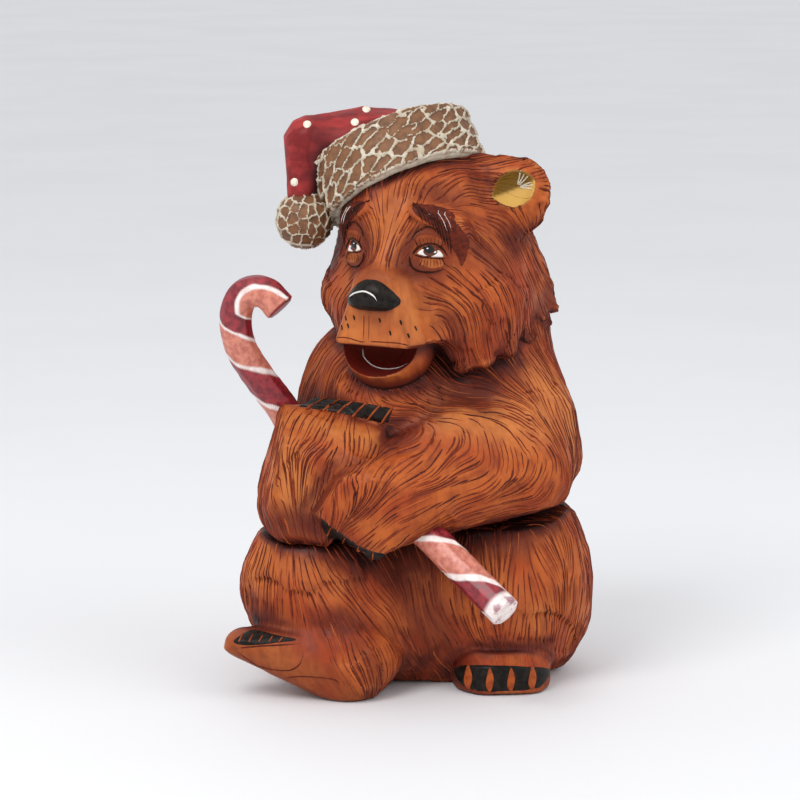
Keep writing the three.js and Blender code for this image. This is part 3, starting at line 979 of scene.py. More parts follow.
class View:
    """A flat drawing board in front of the figure, from which paint is pressed onto a surface."""

    def __init__(self, surface, origin, turn, tip=0.0):
        self.surface = surface
        self.origin = np.array(origin, float)
        self.turn = turn @ turned(0, -tip)

    def press(self, drawn):
        """Drawn points, rows of across and up, carried onto the surface."""
        drawn = np.asarray(drawn, float)
        flat = np.stack([drawn[:, 0], np.full(len(drawn), -BOARD_DISTANCE), drawn[:, 1]], 1)
        return self.surface.along(self.origin + flat @ self.turn.T, tuple(self.turn[:, 1]))

    def patch(self, name, outline, coat, lift=0.1):
        """A thin raised pad of paint inside an outline that bulges everywhere."""
        outline = np.asarray(outline, float)
        centre = outline.mean(0)
        count = len(outline)
        rings = max(3, math.ceil(np.linalg.norm(outline - centre, axis=1).max() / 0.55))
        shares = np.linspace(0, 1, rings + 1)[1:]
        drawn = np.concatenate([centre[None]] + [centre + share * (outline - centre) for share in shares])
        places, normals = self.press(drawn)
        height = np.full(len(drawn), lift)
        height[-count:] = -RIM_SUNK
        upper = places + normals * height[:, None]
        lower = places - normals * UNDER_SUNK
        faces = []
        for layer, flip in ((0, False), (len(drawn), True)):
            for k in range(count):
                n = (k + 1) % count
                fans = [(0, 1 + k, 1 + n)]
                for ring in range(rings - 1):
                    a, b = 1 + ring * count, 1 + (ring + 1) * count
                    fans.append((a + k, b + k, b + n, a + n))
                faces += [tuple(layer + v for v in (f[::-1] if flip else f)) for f in fans]
        last = 1 + (rings - 1) * count
        for k in range(count):
            n = (k + 1) % count
            faces.append((last + n, last + k, len(drawn) + last + k, len(drawn) + last + n))
        finish_piece(add_mesh(name, np.concatenate([upper, lower]), [f[::-1] for f in faces]), coat)

    def strip(self, name, low, high, coat, lift=0.15):
        """A thin raised pad of paint between two drawn curves."""
        columns, rows = 48, 8
        low, high = smooth_through(low, columns), smooth_through(high, columns)
        shares = np.linspace(0, 1, rows)[:, None, None]
        places, normals = self.press((low[None] + shares * (high - low)[None]).reshape(-1, 2))
        inside = np.zeros((rows, columns))
        inside[1:-1, 1:-1] = 1
        height = np.where(inside.ravel() > 0, lift, -RIM_SUNK)
        count = rows * columns
        grid = np.arange(count).reshape(rows, columns)
        quads = np.stack([grid[:-1, :-1], grid[:-1, 1:], grid[1:, 1:], grid[1:, :-1]], 2).reshape(-1, 4)
        rim = np.concatenate([grid[0], grid[1:, -1], grid[-1, -2::-1], grid[-2:0:-1, 0]])
        walls = np.stack([rim, rim + count, np.roll(rim, -1) + count, np.roll(rim, -1)], 1)
        vertices = np.concatenate([places + normals * height[:, None], places - normals * UNDER_SUNK])
        finish_piece(add_mesh(name, vertices, np.concatenate([quads, quads[:, ::-1] + count, walls])), coat)

    def lines(self, name, drawn, coat, lift):
        """Brush lines. Each row of drawn has a line's points and its width."""
        steps = 12
        at = np.linspace(0, 1, steps)
        taper = np.minimum(1, np.minimum(at / 0.15 + 0.35, (1 - at) / 0.3 + 0.1))
        pressed = [self.press(smooth_through(points, steps)) for points, _ in drawn]
        paths, normals = np.array([p for p, _ in pressed]), np.array([n for _, n in pressed])
        widths = np.array([width * taper for _, width in drawn])
        finish_piece(ribbons(name, paths, normals, widths, np.full(len(drawn), 0.3), lift), coat)


# ---- the carved blocks ----
EYES = ((1, 8.5), (-1, -9.5))  # sides, and how far the pupils are from the middle of the head


def head_look(points):
    """How much painted highlight the wood gets, how bare of fur it is, and the head's own attributes."""
    q = (points - HEAD) @ HEAD_TURN
    front = ramp(-q[:, 1], 12, 22)
    # Painted highlight between the eyes, on the muzzle and on the cheeks.
    between = np.exp(-((q[:, 0] / 6.5) ** 2) - ((q[:, 2] - 9) / 10) ** 2) * front
    muzzle_pale = ramp(-q[:, 1], 23, 27) * ramp(-q[:, 2], -1, 4) * ramp(q[:, 2], -15.2, -14)
    cheek = np.exp(-(((np.abs(q[:, 0]) - 11) / 5) ** 2) - ((q[:, 2] + 5) / 6) ** 2) * front
    pale = np.clip(0.6 * between + 0.55 * muzzle_pale + 0.35 * cheek, 0, 1)
    jaw_bare = ramp(-q[:, 2], 14.4, 15.2) * ramp(-q[:, 1], 12, 15) * ramp(-np.abs(q[:, 0]), -11.5, -10)
    bare = np.maximum(ramp(-q[:, 1], 23, 25.5) * ramp(-q[:, 2], -4, 0), jaw_bare)
    cup = ramp(-measured(ear_cup, points), -0.3, -0.1)
    within = ramp(-measured(mouth, points), -0.3, -0.1)
    in_cup = (points - EAR_CUP) @ EAR_CUP_TURN
    brow_brown_and_socket_shade = 0
    for side, x in EYES:
        u, v = side * (q[:, 0] - x), q[:, 2] - 5.0
        flat = np.stack([u, v, 0 * u], 1)
        inner_brow = limb((-3, 8.8, 0), (3.4, 5.8, 0), 1, 1.6)(flat)
        outer_brow = limb((3.4, 5.8, 0), (5.8, -2.6, 0), 1.6, 1)(flat)
        on_brow = ramp(-np.minimum(inner_brow, outer_brow), -0.7, 0)
        on_eye = 1 - ramp(np.hypot(u, v / 1.2), 3.2, 3.9)
        bare = np.maximum(bare, np.maximum(on_brow, on_eye) * front)
        # Brown paint over the brows, and painted shade in the eye hollows.
        socket = np.exp(-(((np.hypot(u, v / 1.1) - 3.8) / 1.9) ** 2))
        brow_shade = np.exp(-(((u - 4.6 + 0.12 * (v - 2) ** 2) / 2.2) ** 2) - ((v - 3) / 5.5) ** 2)
        brow_brown_and_socket_shade = np.maximum(brow_brown_and_socket_shade, np.maximum(0.85 * socket, 0.9 * brow_shade) * front)
    # Painted shade under the nose and in the crease above it.
    below_nose = 0.5 * np.exp(-((q[:, 0] / 5) ** 2) - ((q[:, 2] + 8.4) / 1.6) ** 2) * ramp(-q[:, 1], 26, 28)
    above_nose = 0.5 * np.exp(-((q[:, 0] / 6) ** 2) - ((q[:, 2] - 0.8) / 2.4) ** 2) * ramp(-q[:, 1], 22, 25)
    extra = {
        "mouth": within,
        "ochre": cup,
        # The ear cup's upper facet takes the ochre in painted shade.
        "upper": ramp(in_cup[:, 2], -0.3, 0.3),
        "shade_and_brow_brown": np.maximum.reduce([brow_brown_and_socket_shade, below_nose, above_nose, brushed(points, HEAD_SHADE)]),
    }
    return pale, np.maximum(bare, np.maximum(cup, within)), extra


def brushed(points, marks):
    """Soft marks of painted highlight and shade: each has a start, an end, a reach and a strength."""
    total = np.zeros(len(points))
    for start, end, reach, strength in marks:
        apart = measured(limb(start, end, 0, 0), points)
        total = np.maximum(total, strength * (1 - ramp(apart, 0.15 * reach, reach)))
    return total


TORSO_SHADE = [
    ((-30, -20, 37), (-16, -26, 37), 7, 0.9),
    ((-3, -24, 57), (-16, -28, 43), 5, 0.7),
    ((-12, -28, 39), (-28, -25, 38), 6, 0.8),
    ((-12, -20, 70), (14, -18, 70), 9, 0.75),
    ((12, -14, 71), (27, 0, 75), 6, 0.6),
    ((8, -26, 35), (34, -14, 38), 3, 0.75),
    ((35, -10, 41), (38, 2, 42), 4, 0.8),
    ((-34, -10, 42), (-32, -6, 58), 5, 0.5),
    ((-8, -30, 33), (-18, -30, 37), 4, 0.7),
    ((-24, 0, 64), (-30, 4, 48), 8, 0.45),
    ((12, -22, 56), (22, -20, 48), 2.5, 0.35),
    ((10, 26, 40), (-12, 26, 40), 9, 0.4),
]
# Painted highlight on the lit tops and fronts of the arms, shoulders and sides.
TORSO_HIGHLIGHT = [
    ((-28, -18, 58), (-9, -24, 55), 5, 0.75),
    ((-27, -24, 52), (-24, -26, 44), 8, 0.9),
    ((8, -22, 61), (26, -18, 58), 10, 0.9),
    ((30, -12, 66), (35, -6, 46), 11, 0.9),
]
HAUNCH_SHADE = [
    ((-36, -18, 19), (-14, -28, 17), 5, 0.85),
    ((-12, -29, 13), (-6, -29, 3), 4, 0.5),
    ((-2, -26, 34), (8, -23, 2), 9, 0.95),
    ((-30, -20, 36), (30, -16, 36), 4, 0.8),
    ((6, -24, 33), (22, -22, 34), 7, 0.8),
    ((8, -24, 10), (30, -18, 10), 3, 0.8),
    ((-38, -6, 10), (-34, 4, 6), 9, 0.6),
    ((34, -6, 3), (30, 14, 3), 7, 0.6),
    ((-8, -28, 1), (30, -18, 1), 4, 0.7),
    ((0, 29, 3), (-24, 20, 3), 7, 0.5),
]
# Painted highlight on the fronts and sides of the thighs and on the right foot.
HAUNCH_HIGHLIGHT = [
    ((-26, -24, 30), (-18, -28, 24), 7, 0.4),
    ((14, -24, 26), (26, -22, 16), 8, 0.4),
    ((-32, -19, 30), (-35, -17, 24), 6, 0.5),
    ((-30, -29, 10), (-22, -31, 7), 5, 0.4),
    ((30, -12, 28), (34, -8, 14), 7, 0.3),
]
HEAD_SHADE = [
    (in_head(17, -11, 6), in_head(20, -4, -8), 6, 0.6),
    (in_head(10, -12, -18), in_head(19, -1, -17), 7, 0.85),
    (in_head(19, -1, -17), in_head(22, 14, -6), 5.5, 0.7),
    (in_head(12, -18, -9), in_head(16, -13, -10), 4, 0.55),
    (in_head(-10, -12, -18), in_head(-19, 0, -16), 7, 0.7),
    (in_head(16, -4, 9), in_head(20, -2, 6), 4, 0.6),
    (in_head(22, 2, 8), in_head(23, 6, 4), 4, 0.5),
    (in_head(0, -28, -24), in_head(0, -20, -27), 6, 0.5),
    (in_head(-8, -22, -20), in_head(8, -22, -20), 3, 0.35),
    (in_head(6, -17, 17), in_head(17, -8, 18), 4, 0.4),
    (in_head(-8, -17, 17), in_head(-16, -12, 13), 4, 0.4),
]


# Painted highlight on the lit tops and fronts, and painted shade under and between the masses.
def torso_look(points):
    return brushed(points, TORSO_HIGHLIGHT), np.zeros(len(points)), {"shade_and_brow_brown": brushed(points, TORSO_SHADE)}


def haunch_look(points):
    x, y, z = points.T
    sole = ramp(-y, 16, 20) * ramp(-(x + 0.6 * z), 8, 14) * ramp(-(z + 0.15 * x), -15, -11)
    foot = ramp(-y, 12, 15) * ramp(x, 7, 9) * ramp(-x, -31, -29) * ramp(-z, -10.5, -9)
    # Painted shade from the marks, less over the sole, which gets a light even painted shade; painted
    # highlight from the other marks.
    extra = {"shade_and_brow_brown": np.maximum(brushed(points, HAUNCH_SHADE) * (1 - 0.8 * sole), 0.3 * sole)}
    return brushed(points, HAUNCH_HIGHLIGHT), np.clip(sole + foot, 0, 1), extra


CARVINGS = [
    ("haunch", haunch_form, (-46, -40, -3), (44, 34, 42), 0.52, "haunches", HAUNCH_GUIDES, haunch_look),
    ("torso", torso_form, (-42, -44, 24), (44, 34, 92), 0.5, "torso", TORSO_GUIDES, torso_look),
    ("head", head_form, (-30, -36, 60), (42, 36, 120), 0.42, "head", head_guides(), head_look),
]
FLAT_SPACING = 6.5  # between the knife's flats
FLAT_DEPTH = 0.5
COMB_DEPTHS = (0.05, 0.06)  # of the fine and of the broad streaks
surfaces = {}
for name, form, low, high, voxel, node, guides, look_of in CARVINGS:
    vertices, quads = shell(form, low, high, voxel)
    vertices = settle(form, vertices)
    normals = slope(form, vertices, 0.4)
    rounded, curve = bulging(form, vertices)
    way_at = flow([(settle(form, np.array([place]), 4)[0], way) for place, way in guides])
    ways = lying(way_at(vertices), normals)
    pale, bare, extra = look_of(vertices)
    streak = combed(vertices, ways, 0.9)
    broad = combed(vertices, ways, 2.2, 8.0)
    bulge = soften(0.4 + 0.6 * rounded, quads, 60 if FINE else 20)
    cut = facets(vertices, normals, FLAT_SPACING, FLAT_DEPTH, bulge)
    combing = COMB_DEPTHS[0] * streak + COMB_DEPTHS[1] * broad
    relief = combing * (1 - 0.8 * bare) - cut * (1 - 0.7 * bare)
    carved_points = vertices + normals * relief[:, None]
    carved_points[:, 2] = np.maximum(carved_points[:, 2], 0.0)
    piece = add_mesh(f"{name}_carving", carved_points, quads)
    # Painted shade in the creases and undersides, kept light in the ear's cup and in the mouth.
    shut = crevice_shade(vertices, normals)
    if "ochre" in extra:
        shut *= 1 - 0.8 * np.maximum(extra["ochre"], 0.8 * extra["mouth"])
    # edge marks the rounded edges that turn tan, as wear and as painted highlight.
    paint(piece, streak=0.5 + 0.35 * streak, pale=pale, shut=shut, edge=ramp(curve, 0.15, 0.6), **extra)
    finish_piece(piece, WOOD, node)
    surfaces[name] = Surface(carved_points, quads)
    fur(name, form, surfaces[name], way_at, vertices, ways, look_of)

# ---- nose ----
nose_points, nose_quads = shell(nose_form, (-20, -40, 76), (4, -12, 98), 0.3)
nose_points = settle(nose_form, nose_points)
finish_piece(add_mesh("nose", nose_points, nose_quads), BLACK)
surfaces["nose"] = Surface(nose_points, nose_quads)

# ---- face ----
face_view = View(surfaces["head"], HEAD, HEAD_TURN)
nose_view = View(surfaces["nose"], HEAD, HEAD_TURN)


def eye(side, x, z):
    """An eye with its lids, lashes and brow, drawn about its pupil. Side is 1 on the bear's left."""
    label = "left" if side > 0 else "right"

    def at(points):
        points = np.asarray(points, float)
        return np.stack([x + side * points[:, 0], z + points[:, 1]], 1)

    def spot(part, outline, coat, lift):
        face_view.patch(f"eye_{part}_{label}", at(outline)[::side], coat, lift)

    upper_rim = [(-2.2, -0.6), (-1.4, 0.3), (-0.5, 0.8), (0.8, 0.7), (1.6, 0.0)]
    almond = upper_rim + [(2.3, -1.4), (1.1, -1.5), (-0.5, -1.3), (-1.5, -1.0)]
    spot("upper_lid", oval(0.0, 1.9, 2.7, 1.4, -8), LID, 0.10)
    spot("lower_lid", oval(0.4, -2.6, 2.2, 1.2, -12), LOWER_LID, 0.10)
    spot("white", smooth_through(almond, 27, True), WHITE, 0.18)
    spot("iris", oval(0.05, -0.2, 1.6, 1.35), IRIS, 0.25)
    spot("pupil", oval(-0.1, 0.2, 1.15, 1.1), PUPIL, 0.31)
    spot("glint", oval(-0.4, 0.5, 0.24, 0.22, 0, 10), WHITE, 0.38)
    spot("glint_low", oval(0.85, -0.35, 0.32, 0.2, 40, 10), WHITE, 0.36)
    rows = [
        (at([(-3.0, -0.8), (-1.9, 0.7), (-0.4, 1.45), (1.1, 1.25), (2.2, 0.1), (3.2, -1.9)]), 0.68),
        (at([(-2.8, -0.8), (-0.8, -1.5), (1.2, -1.75), (2.9, -1.7)]), 0.36),
        (at([(-3.3, 2.0), (-2.5, 3.6), (-0.8, 4.9), (0.8, 4.7), (2.4, 3.4)]), 0.42),
        (at([(-3.4, -1.0), (-3.1, -2.8), (-1.8, -4.1), (0.6, -4.6), (2.8, -3.8)]), 0.5),
    ]
    for share in np.linspace(-1, 1, 8):  # lashes
        rows.append((at([(1.9 * share, 1.3 - 0.7 * share**2), (2.5 * share, 3.1 - 0.7 * share**2)]), 0.26))
        rows.append((at([(0.4 + 1.7 * share, -1.8), (0.5 + 2.1 * share, -3.7 + 0.5 * share**2)]), 0.28))
    face_view.lines(f"eye_lines_{label}", rows, UMBER, 0.2)

    brow_top = [(-3.8, 9.6), (-0.6, 9.4), (3.2, 7.6), (5.6, 4.2), (6.2, 0.6), (5.6, -3.6)]
    leaf = brow_top + [(4.5, -0.6), (3.2, 2.8), (0.6, 5.8), (-2.4, 7.6)]
    spot("brow", smooth_through(leaf, 36, True), BROWN, 0.10)
    hairs = []
    for k in range(9):
        share = k / 8
        root = np.array([-4.2 + 7.0 * share, 9.9 - 3.4 * share**1.5])
        lean = math.radians(-50 - 35 * share)
        reach = 5.2 + 2.4 * share
        tip = root + reach * np.array([math.cos(lean), math.sin(lean)])
        bend = root + 0.5 * (tip - root) + np.array([0.5, 0.4])
        hairs.append((at([root, bend, tip]), 0.55))
    face_view.lines(f"brow_hairs_{label}", hairs, UMBER, 0.16)
    bright = [
        (at([(0.6, 8.4), (2.4, 6.4), (3.5, 3.6)]), 0.26),
        (at([(1.7, 8.1), (3.4, 6.0), (4.2, 3.8)]), 0.22),
        (at([(-0.6, 7.9), (0.6, 7.2)]), 0.2),
    ]
    face_view.lines(f"brow_glints_{label}", bright, WHITE, 0.24)


for side, x in EYES:
    eye(side, x, 5.2)

NOSE_GLINT = [(-5.4, -4.4), (-3.4, -3.2), (-0.8, -2.6), (1.4, -3.4), (2.2, -4.6)]
nose_view.lines("nose_glint", [(NOSE_GLINT, 0.5)], WHITE, 0.1)
LIP_LINES = [
    ([(-9.3, -13.2), (-6, -12.9), (-2.4, -13.5), (-1.4, -13.3)], 0.34),
    ([(-0.6, -13.3), (3, -13.2), (7, -13.2), (9.6, -14.0)], 0.34),
    ([(-1.9, -7.8), (-1.8, -10.5), (-1.9, -13.2)], 0.3),
    ([(-0.7, -7.8), (-0.6, -10.5), (-0.7, -13.2)], 0.26),
]
face_view.lines("lip_lines", LIP_LINES, BROWN, 0.1)
WHISKERS = [(-4.2, -8.6), (-5.6, -10.4), (-7.2, -10.9), (-6.3, -8.9)]
WHISKERS += [(1.9, -8.7), (6.6, -8.9), (4.4, -11.2), (8.2, -11.6), (8.8, -10.3)]
whisker_rows = [([(x - 0.25, z + 0.5), (x, z), (x + 0.15, z - 0.6)], 0.55) for x, z in WHISKERS]
face_view.lines("whisker_dots", whisker_rows, BLACK, 0.12)
TEETH = [(-7.2, -16.2), (-6.4, -18.2), (-3.8, -19.8), (-0.6, -20.2), (2.6, -19.6), (4.8, -18.4)]
face_view.lines("teeth_line", [(TEETH, 0.4)], WHITE, 0.1)
TONGUE = [(1.6, -15.4), (1.4, -17.4), (0.6, -19.6)]
face_view.lines("tongue_line", [(TONGUE, 0.35)], (UMBER[0], "red_paint"), 0.08)
ear_view = View(surfaces["head"], EAR_CUP, HEAD_TURN @ turned(16))
ear_rows = []
for k, angle in enumerate((72, 58, 44, 22, 12, 0)):
    way = np.array([math.cos(math.radians(angle)), math.sin(math.radians(angle))])
    ear_rows.append((np.outer([0.15, 0.55, 1.0], way) * (4.3 - 0.3 * (k % 2)) + np.array([-0.1, -0.4]), 0.46))
ear_view.lines("ear_hairs", ear_rows, CREAM, 0.25)

# ---- claws ----
body_view = View(surfaces["torso"], (0, 0, 0), turned(), 10)
foot_view = View(surfaces["haunch"], (0, 0, 0), turned(), 10)
front_view = View(surfaces["haunch"], (0, 0, 0), turned())


def board(x, y, z, tip=10):
    """Where a point lies on a drawing board tipped about X through the origin."""
    c, s = math.cos(math.radians(tip)), math.sin(math.radians(tip))
    return x, z * c + y * s


def claw_gaps(name, low, high, shares, width, below, above):
    """Bare wood between claws: lines across a strip at shares of its length, reaching past its edges."""
    rows = []
    for share in shares:
        foot, top = (smooth_through(curve, 101)[int(100 * share)] for curve in (low, high))
        rows.append((np.array([foot + below, (foot + top) / 2, top + above]), width))
    body_view.lines(name, rows, RUST, 0.32)


FIST_LOW = [(-24.8, 57.5), (-15, 55.9), (-5.6, 53.7)]
FIST_HIGH = [(-21.4, 59.5), (-12.5, 58.6), (-4.4, 57.2)]
body_view.strip("right_paw_claws", FIST_LOW, FIST_HIGH, BLACK, 0.2)
fist_shares = [(k + 0.75) / 6 for k in range(6)]
claw_gaps("right_paw_gaps", FIST_LOW, FIST_HIGH, fist_shares, 0.75, (-0.5, -0.3), (0.9, 0.3))
PAW_LOW = [(-19.6, 32.6), (-17.6, 29.4), (-13.5, 26.7), (-9.3, 24.9), (-5.0, 25.8)]
PAW_HIGH = [(-19.6, 34.4), (-16.2, 31.9), (-12.4, 29.2), (-9.0, 27.5), (-5.2, 26.8)]
body_view.strip("left_paw_claws", PAW_LOW, PAW_HIGH, BLACK, 0.2)
claw_gaps("left_paw_gaps", PAW_LOW, PAW_HIGH, [(k + 0.9) / 5 for k in range(4)], 0.5, (0, 0), (0, 0))
FOOT_LOW = [(8.5, 4.0), (10, 1.6), (15, 0.7), (22, 0.7), (27, 1.3), (29.4, 3.6)]
FOOT_HIGH = [(8.6, 4.6), (11, 6.1), (16, 6.9), (22, 6.7), (27, 5.6), (29.3, 4.2)]
front_view.strip("left_foot_claws", FOOT_LOW, FOOT_HIGH, BLACK)
for k in range(4):
    x = 11.6 + 4.5 * k
    gap = [(x, 6.4), (x + 0.9, 4.2), (x + 0.6, 2.0), (x, 0.9), (x - 0.9, 2.2), (x - 0.7, 4.4)]
    front_view.patch(f"left_foot_gap_{k + 1}", smooth_through(gap, 18, True)[::-1], RUST, 0.35)
TOE_CLAW = [(-38.2, 12.9), (-36.6, 14.3), (-34, 15.2), (-29, 14.3)]
TOE_CLAW += [(-24.6, 13.3), (-29, 12.7), (-33, 12.2), (-36.6, 12.2)]
toe_outline = np.array([board(x, -27, z) for x, z in TOE_CLAW])
foot_view.patch("right_toe_claw", smooth_through(toe_outline, 28, True)[::-1], BLACK, 0.15)
toe_gaps = []
for k in range(5):
    x = -37 + 2.1 * k
    toe_gaps.append((np.array([board(x, -27, 12.7), board(x + 1, -27, 14.6 - 0.15 * k)]), 0.5))
foot_view.lines("right_toe_gaps", toe_gaps, RUST, 0.28)
SOLE = [
    [(-37.4, 11.6), (-33, 12.1), (-28, 12.4), (-24, 12.7)],
    [(-37.5, 11.0), (-33, 7.7), (-27, 6.8), (-24.2, 8.2), (-23.4, 10.4)],
    [(-27.5, 5.0), (-23.8, 5.6), (-17.2, 5.2), (-15.6, 3.8)],
]
sole_rows = [(np.array([board(x, -28, z) for x, z in row]), 0.45) for row in SOLE]
foot_view.lines("sole_lines", sole_rows, BROWN, 0.1)

# ---- hat ----
BRIM_CELL = np.array([6.6, 6.6, 2.9])  # the hollows' sizes
POMPOM_CELL = np.array([2.8, 4.6, 3.4])
BRIM_HOLLOW_DEPTH = 0.6
POMPOM_HOLLOW_DEPTH = 0.4


def wool(vertices, flat, stretch):
    """Gouged hollows with ridges between them: 1 on the ridges, 0 in the hollows.

    They are laid out in flat, which has a place for each vertex. Stretch is their size along its axes.
    """
    sites = flat[RANDOM.choice(len(flat), min(len(flat), 4000), replace=False)] / stretch
    kept = []
    for site in sites:
        if all(((site - other) ** 2).sum() > 0.42 for other in kept):
            kept.append(site)
    kept = np.array(kept)
    drift = noise(vertices, 0.9)
    wobble = 0.12 * np.stack([drift, noise(vertices + 40, 0.9), drift], 1)
    ridge = np.empty(len(flat))
    for start in range(0, len(flat), CHUNK):
        part = slice(start, start + CHUNK)
        apart = np.sqrt(((flat[part, None] / stretch + wobble[part, None] - kept[None]) ** 2).sum(2))
        two = np.partition(apart, 1, axis=1)
        ridge[part] = two[:, 1] - two[:, 0]
    thin = 0.07 * noise(vertices, 5.0)
    return 1 - ramp(ridge + thin, 0.02, 0.15)


def wool_paint():
    """Cream paint brushed over the ridges, with tan wood left bare in the hollows."""
    make = Maker("wool_paint")
    specks = make.noise(1500, 3)
    wood = make.mix(make.spread(make.noise(500, 3), 0.35, 0.7), (0.23, 0.098, 0.036), (0.13, 0.052, 0.019))
    cream = make.mix(make.spread(make.noise(600, 3), 0.3, 0.7), (0.68, 0.62, 0.50), (0.46, 0.38, 0.27))
    covered = make.maths("ADD", make.attribute("ridge"), make.spread(specks, 0.3, 0.7, -0.22, 0.22))
    colour = make.mix(make.spread(covered, 0.32, 0.48), wood, cream)
    return make.coat("cream_paint", colour, make.spread(specks, 0.3, 0.7, 0.5, 0.68), specks, 0.3, 0.00015)


def felt_paint():
    """Red paint rubbed along its streaks, with painted shade in its folds."""
    make = Maker("red_paint")
    streaks = make.noise(330, 4, (0.35, 1, 1))
    colour = make.mix(make.spread(streaks, 0.35, 0.65), (0.19, 0.010, 0.011), (0.42, 0.035, 0.034))
    # Painted shade in the crown's folds.
    colour = make.mix(make.maths("MULTIPLY", make.attribute("shut"), 0.9), colour, (0.03, 0.004, 0.006))
    rough = make.spread(streaks, 0.3, 0.7, 0.46, 0.6)
    return make.coat("red_paint", colour, rough, make.noise(1100, 3, (0.4, 1, 1)), 0.3, 0.00012, 0.25)


WOOL = wool_paint()
FELT = felt_paint()


def hat_piece(form, low, high, voxel):
    vertices, quads = shell(form, low, high, voxel)
    vertices = settle(form, vertices)
    return vertices, quads, slope(form, vertices, 0.3)


def gouge(name, ridge, depth, uneven, node):
    """Makes the piece in hand, with hollows cut to a depth and its surface left a little uneven."""
    cut = vertices - normals * (depth * (1 - ridge))[:, None]
    piece = add_mesh(name, cut + normals * (uneven * noise(vertices, 3))[:, None], quads)
    paint(piece, ridge=ridge)
    finish_piece(piece, WOOL, node)


vertices, quads, normals = hat_piece(brim_form, (-28, -24, 92), (22, 30, 132), 0.3)
in_hat = (vertices - HAT) @ HAT_TURN
around = np.arctan2(in_hat[:, 1], in_hat[:, 0]) * BRIM_OUTER
slanted = in_hat[:, 2] - 0.30 * around
unrolled = around / BRIM_OUTER
sides = np.stack([np.cos(unrolled) * BRIM_OUTER, np.sin(unrolled) * BRIM_OUTER, slanted], 1)
near_rim = ramp(np.abs(in_hat[:, 2]), BRIM_HALF_HEIGHT - 0.9, BRIM_HALF_HEIGHT - 0.2)
outer = ramp(np.hypot(in_hat[:, 0], in_hat[:, 1]), BRIM_INNER + 2.2, BRIM_OUTER - 1.2)
ridge = wool(vertices, sides, BRIM_CELL)
ridge = np.maximum(ridge, 1 - outer)
ridge = np.maximum(ridge, (0.5 + 0.3 * noise(vertices, 2.0)) * near_rim)
gouge("brim_carving", ridge, BRIM_HOLLOW_DEPTH, 0.15, "hat_brim")

vertices, quads, normals = hat_piece(pompom_form, (-32, -10, 90), (-15, 6, 108), 0.26)
ridge = wool(vertices, vertices - POMPOM, POMPOM_CELL)
gouge("pompom_carving", ridge, POMPOM_HOLLOW_DEPTH, 0.0, "pompom")

vertices, quads, normals = hat_piece(crown_form, (-34, -16, 94), (16, 26, 130), 0.4)
rounded, _ = bulging(crown_form, vertices)
vertices = vertices - normals * facets(vertices, normals, 5.0, 0.3, soften(rounded, quads, 24))[:, None]
piece = add_mesh("crown_carving", vertices, quads)
# The crown's folds get painted shade.
paint(piece, shut=crevice_shade(vertices, normals))
finish_piece(piece, FELT, "hat_crown")
hat_view = View(Surface(vertices, quads), (0, 0, 0), turned(), 10)
DOTS = [(-22.7, -6, 120.3), (-12.6, -6, 120.8), (-10.2, -4, 123.6), (-25.5, -3, 107.4)]
for k, dot in enumerate(DOTS):
    hat_view.patch(f"hat_dot_{k + 1}", oval(*board(*dot), 0.95, 0.95, 0, 12), CREAM, 0.2)

# ---- candy cane ----
CANE_RADIUS = 3.45  # at the flats' corners
# Stripes: distances along the rod, turns up to there as seen from the front, and half a white line in turns.
HOOK_STRIPE = [
    (0, 0.1, 0.055),
    (10.5, 0.5, 0.04),
    (22.5, 1.0, 0.035),
    (30.3, 1.5, 0.03),
    (35.2, 2.0, 0.026),
    (48, 2.27, 0.026),
]
TIP_STRIPE = [(0, 0.7, 0.04), (7.3, 1.0, 0.04), (19.8, 1.5, 0.045), (29.5, 1.88, 0.045)]
HOOK_ROUTE = [
    (-24.5, -8.5, 51),
    (-27.6, -10, 59),
    (-32.4, -12, 66.2),
    (-36.4, -14, 73),
    (-37.7, -15, 79.5),
    (-36.4, -16, 84.4),
    (-33.4, -17, 86),
    (-30.6, -17.8, 85.3),
    (-28.2, -18.6, 82.8),
]
TIP_ROUTE = [(0, -23.9, 38.3), (9.3, -31.9, 30.4), (18.7, -40, 22.4)]
CANE_FLATS = 9
CANE_TWIST = 0.006  # how the flats wind round the rod, in radians for each millimetre
CANE_ROUNDNESS = 0.35  # from a flat-sided rod to a round one


def striped_paint():
    """Crimson and pink stripes with off-white lines between, brushed along the wood."""
    make = Maker("striped_paint")
    brushed = make.noise(700, 4)
    crimson = make.mix(make.spread(brushed, 0.35, 0.65), (0.15, 0.006, 0.013), (0.33, 0.022, 0.032))
    pink = make.mix(make.spread(brushed, 0.35, 0.65), (0.66, 0.23, 0.155), (0.46, 0.125, 0.085))
    white = make.mix(make.spread(brushed, 0.35, 0.7), (0.90, 0.82, 0.78), (0.78, 0.62, 0.58))
    colour = make.mix(make.attribute("pink"), crimson, pink)
    colour = make.mix(make.attribute("white"), colour, white)
    smudged = make.maths("MULTIPLY", make.attribute("end"), make.spread(make.noise(420, 3), 0.5, 0.62))
    colour = make.mix(smudged, colour, (0.36, 0.16, 0.20))
    roughness = make.spread(brushed, 0.3, 0.7, 0.36, 0.5)
    return make.coat("striped_paint", colour, roughness, make.noise(1500, 3), varnish=0.15)


